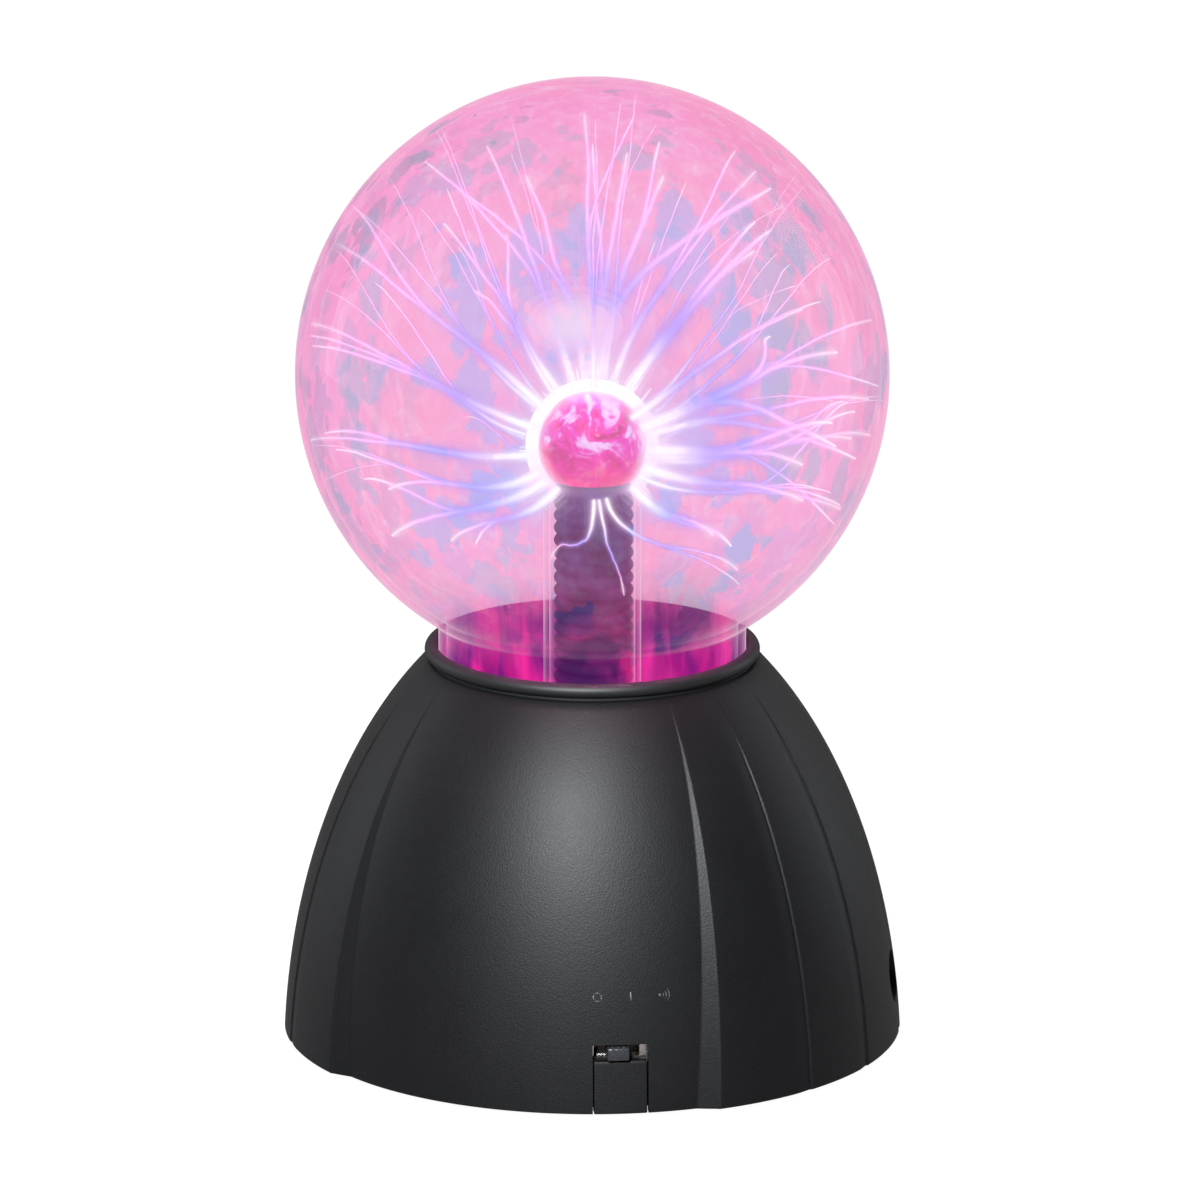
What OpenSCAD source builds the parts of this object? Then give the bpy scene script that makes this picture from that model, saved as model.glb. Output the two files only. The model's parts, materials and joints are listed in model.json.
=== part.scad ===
// Plasma ball: a gas-filled glass globe on a sculpted dome base with its driver board inside.
// Millimetres, +Z up. The origin is on the globe's axis in the plane that the feet rest on.
// The slide switch faces -Y. A turn is an angle in degrees from -Y towards +X.

/* [Globe] */
// Outer diameter of the glass globe
globe_d = 120; // [112:1:128]
// Glass thickness of the globe and its neck
globe_wall = 1.6; // [1.2:0.1:2]
// Outer diameter of the globe's neck
neck_d = 62.4; // [58:0.2:62.6]
// Length of neck that shows between the collar and the globe
neck_show = 4.6; // [3:0.2:8]
// Length of neck below the top of the collar
neck_hidden = 22; // [17:1:24]

/* [Electrode] */
// Outer diameter of the glass stem
stem_d = 19.8; // [19:0.2:21]
// Glass thickness of the stem and its bulb
stem_wall = 1.2; // [1:0.1:1.2]
// Outer diameter of the bulb on top of the stem
bulb_d = 24.4; // [24:0.2:30]
// Height of the bulb's middle below the globe's middle
bulb_drop = 14.9; // [8:0.1:20]
// Outer diameter of the ribbed sleeve inside the stem
sleeve_d = 16.2; // [14:0.2:16.2]
// Pitch of the sleeve's ribs
rib_pitch = 2.6; // [2:0.1:4]

/* [Base] */
// Diameter of the ellipse that the side of the dome follows
dome_d = 126.4; // [124:0.2:130]
// Height from the dome's lower edge up to the seat of the collar
dome_h = 77.9; // [74:0.1:82]
// Outer diameter of the dome at the seat of the collar
seat_d = 67.9; // [67:0.1:70]
// Wall of the shell, measured level
shell_wall = 2.2; // [1.8:0.1:2.4]
// Depth of the two sunken panels at the lower edge
panel_depth = 2.2; // [1.4:0.1:2.4]
// Width of each sunken panel between its slopes, in degrees
panel_span = 73; // [68:1:78]
// Width of the slope from the raised wall down to a panel, in degrees
slope_span = 4.4; // [3:0.2:6]
// Turn of the middle of the front panel
panel_turn = -22; // [-26:1:-16]
// Height of the dome's lower edge above the table
edge_z = 1; // [0.8:0.1:1.4]

/* [Switch] */
// Width of the switch slot
slot_w = 11; // [10.6:0.1:12]
// Height of the switch slot
slot_h = 3.4; // [3.2:0.1:4]
// Height of the middle of the slot above the table
slot_z = 13.5; // [13:0.1:14.5]
// Width of the sliding knob
knob_w = 4.4; // [3.6:0.1:4.6]
// Travel of the knob to each side of its middle position
knob_travel = 2; // [1.5:0.1:2]

/* [Power jack] */
// Turn of the jack
jack_turn = 78; // [72:1:84]
// Diameter of the jack's centre pin
jack_pin_d = 2; // [1.6:0.1:2.5]
// Diameter of the jack's barrel
jack_bore_d = 6.2; // [5.8:0.1:6.6]

/* [Hidden] */

$fn = 96;
fine = 24;          // $fn of small round details
slack = 0.1;        // gap between two pieces that fit without play
clear = 0.3;        // gap between two pieces that must not rub

// Levels above the table
cover_z = edge_z + 0.6;
cover_t = 2.2;
board_z = 9;                        // top face of the circuit board
board_t = 1.6;
seat_z = edge_z + dome_h;
ceiling_z = seat_z - shell_wall;    // under side of the shell's top flange
collar_h = 3.3;
collar_z = seat_z + collar_h;
neck_z = collar_z - neck_hidden;    // lower end of the neck

// Glass
globe_r = globe_d / 2;
neck_r = neck_d / 2;
globe_z = collar_z + neck_show + sqrt(globe_r * globe_r - neck_r * neck_r);
bulb_z = globe_z - bulb_drop;
bulb_r = bulb_d / 2;
stem_r = stem_d / 2;
stem_bore = stem_r - stem_wall;
flare_t = 1.6;                      // thickness of the disc that closes the neck

// Dome
dome_drop = 8;                      // depth of the ellipse's middle below the lower edge
dome_rise = (dome_h + dome_drop) / sqrt(1 - pow(seat_d / dome_d, 2));
panel_rise = 70;                    // height at which the panels would fade out
panel_top = 62;                     // height at which they are cut off
flange_r = neck_r + 0.6;            // opening at the top of the shell

// Fasteners
boss_turns = [30, 150, 270];
boss_ring = 52.5;                   // radius on which the cover screws stand
clamp_ring_r = 35.2;                // radius on which the clamp screws stand
foot_ring = 46;
foot_r = 5;
foot_sunk = 0.8;
standoff_ring = 42;

// Switch and jack
switch_x = -0.5;
switch_y = -56.8;                   // front face of the switch's frame
frame_w = 13.5;
frame_h = 6.6;
frame_depth = 4.5;
sheet = 0.5;                        // thickness of the frame's metal
knob_h = 2.6;
knob_tip = 61.2;                    // distance of the knob's tip from the axis
jack_face = 55.5;                   // distance of the jack's square face from the axis
jack_nose = 58.2;                   // distance of the end of its round nose
jack_floor = 47;                    // distance of the socket's floor from the axis
jack_root = 2.8;                    // length of the pin's thick root behind that floor
jack_root_r = 1.4;
jack_w = 9;
jack_len = 13;

// Outer radius of the raised wall at height z above the table
function dome_r(z) = dome_d / 2 * sqrt(1 - pow((z - edge_z + dome_drop) / dome_rise, 2));
// Depth of the sunken panels at height z
function sink(z) = panel_depth * max(0, 1 - (z - edge_z) / panel_rise);
function panel_r(z) = dome_r(z) - sink(z);
function inner_r(z) = panel_r(z) - shell_wall;
// n + 1 heights from low to high
function levels(low, high, n) = [for (i = [0:n]) low + (high - low) * i / n];
// Points of an arc about c from angle a0 to angle a1
function arc(c, r, a0, a1, n) =
    [for (i = [0:n]) let (a = a0 + (a1 - a0) * i / n) c + r * [cos(a), sin(a)]];

// Puts its children at a turn and a distance from the axis, facing outwards along -Y
module at_turn(turn, distance = 0) {
    rotate([0, 0, turn]) translate([0, -distance, 0]) children();
}

// Tube with a square end at each side, standing on z
module tube(outer, inner, z, h) {
    translate([0, 0, z]) difference() {
        cylinder(r = outer, h = h);
        translate([0, 0, -1]) cylinder(r = inner, h = h + 2);
    }
}

// Box centred on x and y, standing on z
module block(size, z = 0) {
    translate([-size[0] / 2, -size[1] / 2, z]) cube(size);
}

// Wedge around the dome, span degrees wide about a turn, that lowers the wall by a share of sink()
module panel_cut(turn, span, share) {
    heights = levels(edge_z - 1, edge_z + panel_top, 8);
    rotate([0, 0, turn - 90 - span / 2])
        rotate_extrude(angle = span)
            polygon(concat(
                [for (z = heights) [dome_r(z) - share * sink(z), z]],
                [[dome_d, edge_z + panel_top], [dome_d, edge_z - 1]]));
}

module dome_wall() {
    heights = levels(edge_z, seat_z, 12);
    inside = levels(ceiling_z, edge_z, 10);
    rotate_extrude()
        polygon(concat(
            [for (z = heights) [dome_r(z), z]],
            [[flange_r, seat_z], [flange_r, ceiling_z]],
            [for (z = inside) [inner_r(z), z]]));
}

// Screw post that stands beside the wall and joins it through a rib
module screw_post(turn) {
    post_top = 30;
    at_turn(turn, boss_ring) translate([0, 0, cover_z + cover_t])
        cylinder(r = 3.2, h = post_top - cover_z - cover_t);
    at_turn(turn, boss_ring) translate([-1, -4, cover_z + cover_t + 6])
        cube([2, 4, post_top - cover_z - cover_t - 6]);
}

module base_shell() {
    pilot_top = 15;
    color([0.05, 0.05, 0.055]) difference() {
        union() {
            difference() {
                dome_wall();
                for (turn = [panel_turn, panel_turn + 180]) {
                    panel_cut(turn, panel_span, 1);
                    panel_cut(turn, panel_span + slope_span, 0.5);
                }
            }
            for (turn = boss_turns) screw_post(turn);
            for (turn = boss_turns) at_turn(turn, clamp_ring_r)
                translate([0, 0, ceiling_z - 6]) cylinder(r = 1.8, h = 3.8, $fn = fine);
        }
        for (turn = boss_turns) at_turn(turn, boss_ring)
            translate([0, 0, edge_z]) cylinder(r = 1.4, h = pilot_top, $fn = fine);
        for (turn = boss_turns) at_turn(turn, clamp_ring_r)
            translate([0, 0, ceiling_z - 7]) cylinder(r = 0.8, h = 4, $fn = fine);
        // Slot, open below, that the cover's tongue closes up to the switch
        translate([-slot_w / 2 - slack, -dome_d / 2, edge_z - 1])
            cube([slot_w + 2 * slack, 10, slot_z + slot_h / 2 - edge_z + 1]);
        // Hole for the jack's nose, with a scoop around it
        at_turn(jack_turn) translate([0, 0, slot_z]) rotate([90, 0, 0]) {
            translate([0, 0, jack_face - 2]) cylinder(r = jack_w / 2 + slack, h = 10);
            translate([0, 0, jack_nose + 0.6]) cylinder(r1 = jack_w / 2 + slack, r2 = 6, h = 5);
        }
    }
}

module collar_ring() {
    inner = neck_r + clear;
    bead_r = seat_d / 2 + 0.1;
    corner = 1.1;
    step = 0.5;
    color([0.04, 0.04, 0.04]) translate([0, 0, seat_z]) rotate_extrude()
        polygon(concat(
            [[inner, 0], [bead_r - 1, 0], [bead_r - 1, step]],
            arc([bead_r - corner, step + corner], corner, -90, 0, 6),
            arc([bead_r - corner, collar_h - corner], corner, 0, 90, 6),
            arc([inner + 0.6, collar_h - 0.6], 0.6, 90, 180, 4)));
}

module bottom_cover() {
    rim = inner_r(cover_z + cover_t) - clear;
    tongue_w = slot_w - clear;
    tongue_top = slot_z - slot_h / 2;
    standoff_h = board_z - board_t - cover_z - cover_t;
    heights = levels(edge_z, tongue_top, 3);
    color([0.06, 0.06, 0.06]) difference() {
        union() {
            translate([0, 0, cover_z]) cylinder(r = rim, h = cover_t);
            for (i = [0:3]) at_turn(45 + 90 * i, standoff_ring)
                translate([0, 0, cover_z + 1]) cylinder(r = 3, h = standoff_h + cover_t - 1);
            // Tongue that fills the shell's slot below the switch
            intersection() {
                rotate_extrude() polygon(concat(
                    [for (z = heights) [panel_r(z) - 0.05, z]],
                    [[rim - 0.8, tongue_top], [rim - 0.8, edge_z]]));
                translate([-tongue_w / 2, -dome_d / 2, 0]) cube([tongue_w, 10, tongue_top + 1]);
            }
        }
        for (i = [0:3]) at_turn(45 + 90 * i, standoff_ring)
            translate([0, 0, cover_z + cover_t + 0.2]) cylinder(r = 1.25, h = 10, $fn = fine);
        for (i = [0:3]) at_turn(45 + 90 * i, foot_ring)
            translate([0, 0, cover_z - 1]) cylinder(r = foot_r + slack, h = 1 + foot_sunk);
        for (turn = boss_turns) at_turn(turn, boss_ring) {
            translate([0, 0, cover_z - 1]) cylinder(r = 2.9, h = 2.4);
            translate([0, 0, cover_z]) cylinder(r = 1.6, h = 10, $fn = fine);
        }
    }
}

module rubber_feet() {
    top = cover_z + foot_sunk;
    color([0.1, 0.1, 0.1]) for (i = [0:3]) at_turn(45 + 90 * i, foot_ring)
        rotate_extrude() polygon(concat(
            [[0, 0]],
            arc([foot_r - 0.8, 0.8], 0.8, -90, 0, 4),
            [[foot_r, top], [0, top]]));
}

module cover_screws() {
    color("silver") for (turn = boss_turns) at_turn(turn, boss_ring) difference() {
        union() {
            translate([0, 0, cover_z]) cylinder(r = 2.7, h = 1.4);
            translate([0, 0, cover_z]) cylinder(r = 1.3, h = 12, $fn = fine);
        }
        for (a = [0, 90]) rotate([0, 0, a]) block([3.2, 0.7, 1.7], cover_z - 1);
    }
}

module globe_glass() {
    color([0.9, 0.7, 0.85, 0.3]) difference() {
        union() {
            translate([0, 0, globe_z]) sphere(r = globe_r);
            translate([0, 0, neck_z]) cylinder(r = neck_r, h = globe_z - neck_z - globe_r / 2);
        }
        translate([0, 0, globe_z]) sphere(r = globe_r - globe_wall);
        translate([0, 0, neck_z - 1])
            cylinder(r = neck_r - globe_wall, h = globe_z - neck_z - globe_r / 2);
    }
}

module stem_glass() {
    color([0.9, 0.75, 0.9, 0.4]) difference() {
        union() {
            translate([0, 0, neck_z - flare_t]) cylinder(r = neck_r, h = flare_t);
            translate([0, 0, neck_z - flare_t]) cylinder(r = stem_r, h = bulb_z - neck_z);
            translate([0, 0, bulb_z]) sphere(r = bulb_r);
        }
        translate([0, 0, bulb_z]) sphere(r = bulb_r - stem_wall);
        translate([0, 0, neck_z - flare_t - 1]) cylinder(r = stem_bore, h = bulb_z - neck_z + 1);
    }
}

// Nipple through which the globe was filled, melted shut
module exhaust_tip() {
    tip_r = 2.4;
    color([0.85, 0.85, 0.9, 0.5]) at_turn(120, 20) translate([0, 0, neck_z - flare_t]) mirror([0, 0, 1])
        rotate_extrude() polygon(concat(
            [[0, 0], [tip_r, 0], [tip_r, 4]],
            [[1, 7]],
            arc([0, 7.4], 0.9, -10, 90, 4)));
}

module electrode_wool() {
    wool_r = bulb_r - stem_wall - clear;
    color([0.55, 0.4, 0.5]) translate([0, 0, bulb_z]) difference() {
        sphere(r = wool_r);
        translate([0, 0, -wool_r - 6.5]) cylinder(r = bulb_r, h = wool_r);
        translate([0, 0, -bulb_r]) cylinder(r = 3.1, h = bulb_r - 3);
    }
}

module contact_cap() {
    color("goldenrod") translate([0, 0, bulb_z - 8.5]) difference() {
        cylinder(r = 3, h = 5.4);
        translate([0, 0, -1]) cylinder(r = 1.7, h = 4.5, $fn = fine);
    }
}

// Corrugated insulating sleeve, off centre in the stem by half its play
module stem_sleeve() {
    low = neck_z + 0.4;
    count = floor((bulb_z - 9 - low) / rib_pitch);
    crest = sleeve_d / 2;
    groove = crest - 0.7;
    half = rib_pitch / 2;
    color([0.12, 0.1, 0.12]) translate([(stem_bore - crest) / 2, 0, low]) rotate_extrude()
        polygon(concat(
            [[5.5, count * rib_pitch], [5.5, 0]],
            [for (i = [0:count - 1]) for (p = [[groove, 0.3], [crest, 0.8], [crest, half + 0.2],
                [groove, half + 0.7]]) [p[0], p[1] + i * rib_pitch]],
            [[groove, count * rib_pitch]]));
}

module hv_lead() {
    color([0.6, 0.1, 0.08]) translate([0, 0, winding_top - 3])
        cylinder(r = 1.6, h = bulb_z - 5 - winding_top + 3, $fn = fine);
}

module neck_gasket() {
    color([0.2, 0.2, 0.2]) tube(neck_r + 1.8, neck_r + 0.05, ceiling_z - 6, 6);
}

module neck_clamp() {
    color([0.15, 0.15, 0.15]) difference() {
        tube(clamp_ring_r + 2.4, neck_r + slack, ceiling_z - 10, 4);
        for (turn = boss_turns) at_turn(turn, clamp_ring_r)
            translate([0, 0, ceiling_z - 11]) cylinder(r = 0.95, h = 6, $fn = fine);
    }
}

module clamp_screws() {
    color("silver") for (turn = boss_turns) at_turn(turn, clamp_ring_r) {
        translate([0, 0, ceiling_z - 11.2]) cylinder(r = 1.7, h = 1.2, $fn = fine);
        translate([0, 0, ceiling_z - 11.2]) cylinder(r = 0.7, h = 7.6, $fn = fine);
    }
}

module circuit_board() {
    color([0.45, 0.35, 0.2]) translate([0, 0, board_z - board_t]) difference() {
        union() {
            cylinder(r = 49, h = board_t);
            translate([-8, -55.5, 0]) cube([16, 12, board_t]);
        }
        for (turn = boss_turns) at_turn(turn, boss_ring)
            translate([0, 0, -1]) cylinder(r = 4.6, h = board_t + 2);
        for (i = [0:3]) at_turn(45 + 90 * i, standoff_ring)
            translate([0, 0, -1]) cylinder(r = 1.5, h = board_t + 2, $fn = fine);
    }
}

module board_screws() {
    color("silver") for (i = [0:3]) at_turn(45 + 90 * i, standoff_ring) difference() {
        union() {
            translate([0, 0, board_z]) cylinder(r = 2.8, h = 1.6);
            translate([0, 0, cover_z + cover_t + 0.4])
                cylinder(r = 1.2, h = board_z - cover_z - cover_t, $fn = fine);
        }
        for (a = [0, 90]) rotate([0, 0, a]) block([3.4, 0.7, 2], board_z + 0.8);
    }
}

// Transformer: two ferrite halves whose front and rear limbs run along X
limb = 8;
limb_y = -22;           // middle of the return limb
winding_z = board_z + 13;
winding_r = 11;
winding_l = 22;
winding_top = winding_z + winding_r + 4;
core_l = 40;

module transformer_core() {
    color([0.25, 0.25, 0.27]) translate([0, 0, winding_z]) {
        for (side = [0, 1]) mirror([side, 0, 0]) difference() {
            translate([0.05, limb_y - limb / 2, -limb / 2]) cube([core_l / 2, limb - limb_y, limb]);
            translate([-1, limb_y + limb / 2, -limb])
                cube([core_l / 2 - limb + 2, -limb_y - limb, 2 * limb]);
        }
    }
}

module transformer_bobbin() {
    color([0.15, 0.15, 0.2]) difference() {
        union() {
            translate([0, 0, winding_z]) rotate([0, 90, 0]) {
                translate([0, 0, -winding_l / 2]) cylinder(r = 7, h = winding_l);
                for (side = [0, 1]) mirror([0, 0, side])
                    translate([0, 0, winding_l / 2]) cylinder(r = winding_r + 1, h = 1.5);
            }
            for (side = [-1, 1]) translate([side * (winding_l / 2 + 0.75), 0, 0])
                block([1.5, 14, winding_z - board_z - 8], board_z);
        }
        translate([-core_l / 2, -limb / 2 - 0.2, winding_z - limb / 2 - 0.2])
            cube([core_l, limb + 0.4, limb + 0.4]);
    }
}

module transformer_winding() {
    color([0.05, 0.05, 0.05]) difference() {
        union() {
            translate([-winding_l / 2, 0, winding_z]) rotate([0, 90, 0])
                cylinder(r = winding_r, h = winding_l);
            translate([0, 0, winding_z]) cylinder(r = 3.4, h = winding_top - winding_z);
        }
        translate([-winding_l, 0, winding_z]) rotate([0, 90, 0])
            cylinder(r = 7 + 0.05, h = 2 * winding_l);
        translate([0, 0, winding_top - 3]) cylinder(r = 1.7, h = 5, $fn = fine);
    }
}

// Power transistor: a moulded body on a metal tab, screwed to the heat sink behind it
sink_y = 26;
tab_t = 1.3;

module transistor_body() {
    color([0.1, 0.1, 0.1]) translate([0, sink_y - tab_t - 1.6, board_z + 4]) block([10, 3.2, 9]);
}

module transistor_tab() {
    color("silver") {
        difference() {
            translate([0, sink_y - tab_t / 2, board_z + 4]) block([10, tab_t, 15.5]);
            translate([0, sink_y + 1, board_z + 16.5]) rotate([90, 0, 0])
                cylinder(r = 1.7, h = 5, $fn = fine);
        }
        for (x = [-2.54, 0, 2.54]) translate([x, sink_y - tab_t - 1.6, board_z]) block([0.8, 0.6, 4]);
        translate([0, sink_y - tab_t / 2, board_z + 3]) block([10, tab_t, 1]);
    }
}

module heat_sink() {
    fin_t = 1.2;
    pitch = 4.8;
    color([0.7, 0.7, 0.72]) translate([0, sink_y, board_z]) difference() {
        union() {
            translate([-15, 0, 0]) cube([30, 3, 28]);
            for (i = [-3:3]) translate([i * pitch - fin_t / 2, 2, 0]) cube([fin_t, 10, 28]);
        }
        translate([0, 6, 16.5]) rotate([90, 0, 0]) cylinder(r = 1.4, h = 8, $fn = fine);
        translate([-4, 3, 14]) cube([8, 12, 5]);
    }
}

module heat_sink_screw() {
    color("silver") translate([0, sink_y - tab_t, board_z + 16.5]) rotate([90, 0, 0]) {
        cylinder(r = 2.6, h = 1.8, $fn = fine);
        translate([0, 0, -4]) cylinder(r = 1.3, h = 5, $fn = fine);
    }
}

module can_capacitor(x, y, r, h) {
    translate([x, y, board_z]) rotate_extrude() polygon([
        [0, 0], [r, 0], [r, 1.6], [r - 0.4, 2], [r, 2.4], [r, h - 0.4], [r - 0.4, h], [0, h]]);
}

module electrolytic_capacitors() {
    color([0.1, 0.12, 0.3]) {
        can_capacitor(-35, 9, 5, 16);
        can_capacitor(-35, -4, 5, 16);
        can_capacitor(-25, 20, 3.2, 11);
        can_capacitor(34, 22, 4, 12);
    }
}

module film_capacitors() {
    color([0.6, 0.15, 0.1]) {
        translate([31, 8, board_z + 0.5]) block([6, 13, 11]);
        for (y = [3.5, 12.5]) translate([31, y, board_z]) block([0.6, 0.6, 0.6]);
        translate([-28, -18, board_z + 0.5]) block([10, 5, 8]);
        for (x = [-31.5, -24.5]) translate([x, -18, board_z]) block([0.6, 0.6, 0.6]);
    }
}

module ceramic_capacitors() {
    color([0.75, 0.5, 0.15]) for (spot = [[12, -38], [28, -22]]) translate([spot[0], spot[1], board_z]) {
        translate([0, 1.3, 6]) rotate([90, 0, 0]) cylinder(r = 3.6, h = 2.6);
        for (x = [-2.5, 2.5]) translate([x, 0, 0]) cylinder(r = 0.3, h = 4.5, $fn = fine);
    }
}

module resistors() {
    wire = 0.3;
    color([0.75, 0.62, 0.42])
        for (spot = [[-9.5, -38, 0], [-23.6, -29, 90], [24, -8, 90], [-21, 34, 90], [24, 35, 0], [-20, 8, 90]])
            translate([spot[0], spot[1], board_z]) rotate([0, 0, spot[2]]) {
                translate([-3.2, 0, 1.6]) rotate([0, 90, 0]) cylinder(r = 1.2, h = 6.4, $fn = fine);
                translate([-5, 0, 1.6]) rotate([0, 90, 0]) cylinder(r = wire, h = 10, $fn = fine);
                for (x = [-5, 5]) translate([x, 0, 0]) cylinder(r = wire, h = 1.6 + wire, $fn = fine);
            }
}

module timer_chip() {
    color([0.1, 0.1, 0.1]) translate([22, -38, board_z + 0.8]) difference() {
        block([9.6, 6.4, 3.3]);
        translate([-4.8, 0, 2.6]) cylinder(r = 1, h = 2, $fn = fine);
    }
}

module chip_legs() {
    color("silver") for (i = [0:3]) for (side = [-1, 1])
        translate([22 + (i - 1.5) * 2.54, -38 + side * 3.45, board_z]) {
            block([1.2, 0.5, 2.6]);
        }
}

module microphone() {
    color([0.7, 0.7, 0.7]) translate([-21, -39.5, board_z]) rotate_extrude() polygon([
        [0, 0], [4.85, 0], [4.85, 6.2], [4.5, 6.5], [3.4, 6.5], [3.4, 6.3], [0, 6.3]]);
}

module jack_body() {
    color([0.07, 0.07, 0.07]) at_turn(jack_turn) difference() {
        union() {
            translate([-jack_w / 2, -jack_face, board_z]) cube([jack_w, jack_len, jack_w]);
            translate([0, -jack_face + 1, slot_z]) rotate([90, 0, 0])
                cylinder(r = jack_w / 2 - 0.2, h = jack_nose - jack_face + 1);
        }
        translate([0, -jack_floor, slot_z]) rotate([90, 0, 0]) cylinder(d = jack_bore_d, h = 20);
        translate([0, -jack_floor + jack_root, slot_z]) rotate([90, 0, 0])
            cylinder(r = jack_root_r + slack / 2, h = 20, $fn = fine);
    }
}

module jack_pin() {
    color("silver") at_turn(jack_turn) translate([0, -jack_floor, slot_z]) rotate([90, 0, 0]) {
        cylinder(d = jack_pin_d, h = jack_nose - jack_floor - 0.8, $fn = 48);
        translate([0, 0, -jack_root]) cylinder(r = jack_root_r, h = jack_root, $fn = fine);
    }
}

module jack_tags() {
    color("silver") at_turn(jack_turn) {
        for (x = [-2.4, 2.4]) translate([x, -41.9, board_z]) block([1.8, 1, 5]);
    }
}

module switch_frame() {
    back = switch_y + frame_depth;
    window_w = knob_w + 2 * knob_travel + 0.8;
    color("silver") translate([switch_x, 0, slot_z]) difference() {
        union() {
            translate([-frame_w / 2, switch_y, -frame_h / 2]) cube([frame_w, frame_depth, frame_h]);
            for (x = [-frame_w / 2, frame_w / 2 - sheet]) translate([x, back - 2.5, board_z - slot_z])
                cube([sheet, 2, slot_z - board_z]);
        }
        translate([-frame_w / 2 + sheet, switch_y + sheet, -frame_h / 2 + sheet])
            cube([frame_w - 2 * sheet, frame_depth, frame_h - 2 * sheet]);
        translate([-window_w / 2, switch_y - 1, -knob_h / 2 - clear])
            cube([window_w, 3, knob_h + 2 * clear]);
    }
}

module switch_base() {
    plate = 1.4;
    color([0.35, 0.2, 0.1]) translate([switch_x, switch_y + frame_depth - plate, slot_z - frame_h / 2])
        translate([0, plate / 2, sheet + slack])
            block([frame_w - 2 * sheet - 2 * slack, plate, frame_h - 2 * sheet - 2 * slack]);
}

module switch_terminals() {
    back = switch_y + frame_depth;
    color([0.8, 0.75, 0.6]) for (i = [-1.5:1:1.5]) translate([switch_x + 2.6 * i, 0, board_z]) {
        translate([-0.5, back, 0]) cube([1, 0.5, slot_z - board_z + 0.6]);
    }
}

// The piece that slides: a shoe behind the frame's window and the knob that a finger pushes
module switch_slider() {
    shoe_front = switch_y + sheet + clear / 2;
    color([0.12, 0.12, 0.12]) translate([switch_x, 0, slot_z]) {
        translate([-4, shoe_front, -2.3]) cube([8, 1.7, 4.6]);
        translate([-knob_w / 2, -knob_tip, -knob_h / 2])
            cube([knob_w, knob_tip + shoe_front + 0.5, knob_h]);
    }
}

base_shell();
collar_ring();
bottom_cover();
rubber_feet();
cover_screws();
globe_glass();
stem_glass();
exhaust_tip();
electrode_wool();
contact_cap();
stem_sleeve();
hv_lead();
neck_gasket();
neck_clamp();
clamp_screws();
circuit_board();
board_screws();
transformer_core();
transformer_bobbin();
transformer_winding();
transistor_body();
transistor_tab();
heat_sink();
heat_sink_screw();
electrolytic_capacitors();
film_capacitors();
ceramic_capacitors();
resistors();
timer_chip();
chip_legs();
microphone();
jack_body();
jack_pin();
jack_tags();
switch_frame();
switch_base();
switch_terminals();
switch_slider();
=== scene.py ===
"""A plasma ball: a gas-filled glass globe on a sculpted black base, with its discharge alight."""

import json
import math
import random

import bmesh
import bpy
from bpy.props import FloatProperty, FloatVectorProperty, IntProperty, PointerProperty
from mathutils import Matrix, Vector, noise


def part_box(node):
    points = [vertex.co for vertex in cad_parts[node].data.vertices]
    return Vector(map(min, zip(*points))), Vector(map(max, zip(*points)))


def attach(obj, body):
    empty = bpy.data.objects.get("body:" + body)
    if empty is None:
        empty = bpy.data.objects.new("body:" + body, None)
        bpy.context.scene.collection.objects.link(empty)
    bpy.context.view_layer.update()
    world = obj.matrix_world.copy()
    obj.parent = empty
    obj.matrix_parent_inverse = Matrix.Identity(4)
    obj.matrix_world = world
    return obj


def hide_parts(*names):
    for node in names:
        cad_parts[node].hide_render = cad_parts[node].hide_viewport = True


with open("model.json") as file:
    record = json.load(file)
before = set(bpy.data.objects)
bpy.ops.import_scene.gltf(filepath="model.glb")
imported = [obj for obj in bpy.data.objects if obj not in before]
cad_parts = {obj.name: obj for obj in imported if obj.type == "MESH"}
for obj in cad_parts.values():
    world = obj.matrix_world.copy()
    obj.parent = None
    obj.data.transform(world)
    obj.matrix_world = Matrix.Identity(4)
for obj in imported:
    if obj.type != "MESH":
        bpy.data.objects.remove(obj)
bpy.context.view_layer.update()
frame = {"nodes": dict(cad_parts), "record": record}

bl_info = {
    "name": "Plasma Ball",
    "version": (1, 0, 0),
    "blender": (4, 5, 0),
    "location": "View3D > Sidebar > Plasma Ball",
    "description": "Builds a plasma ball around its packed frame",
    "category": "Add Mesh",
}

MM = 0.001
UP = Vector((0, 0, 1))
BODY = "body"
KNOB = "knob"
GLASS_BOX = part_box("globe_glass")
STEM_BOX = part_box("stem_glass")
SHELL_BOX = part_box("base_shell")
COLLAR_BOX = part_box("collar_ring")
COVER_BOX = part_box("bottom_cover")
SLEEVE_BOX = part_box("stem_sleeve")
WOOL_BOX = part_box("electrode_wool")
JACK_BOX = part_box("jack_body")
KNOB_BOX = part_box("switch_slider")
FEET_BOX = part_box("rubber_feet")

# Fine lines of the dome, in degrees from a panel's middle: place, fall before it, width of its
# steep edge, and depth in metres
LINES = [(61.0, 3.2, 0.42, 0.30 * MM), (79.0, 2.6, 0.40, 0.34 * MM)]

# How far the outer end of a panel's slope has moved outwards at the dome's top
SLOPE_SWING = math.radians(2.1)


# ---------------------------------------------------------------- settings


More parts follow.
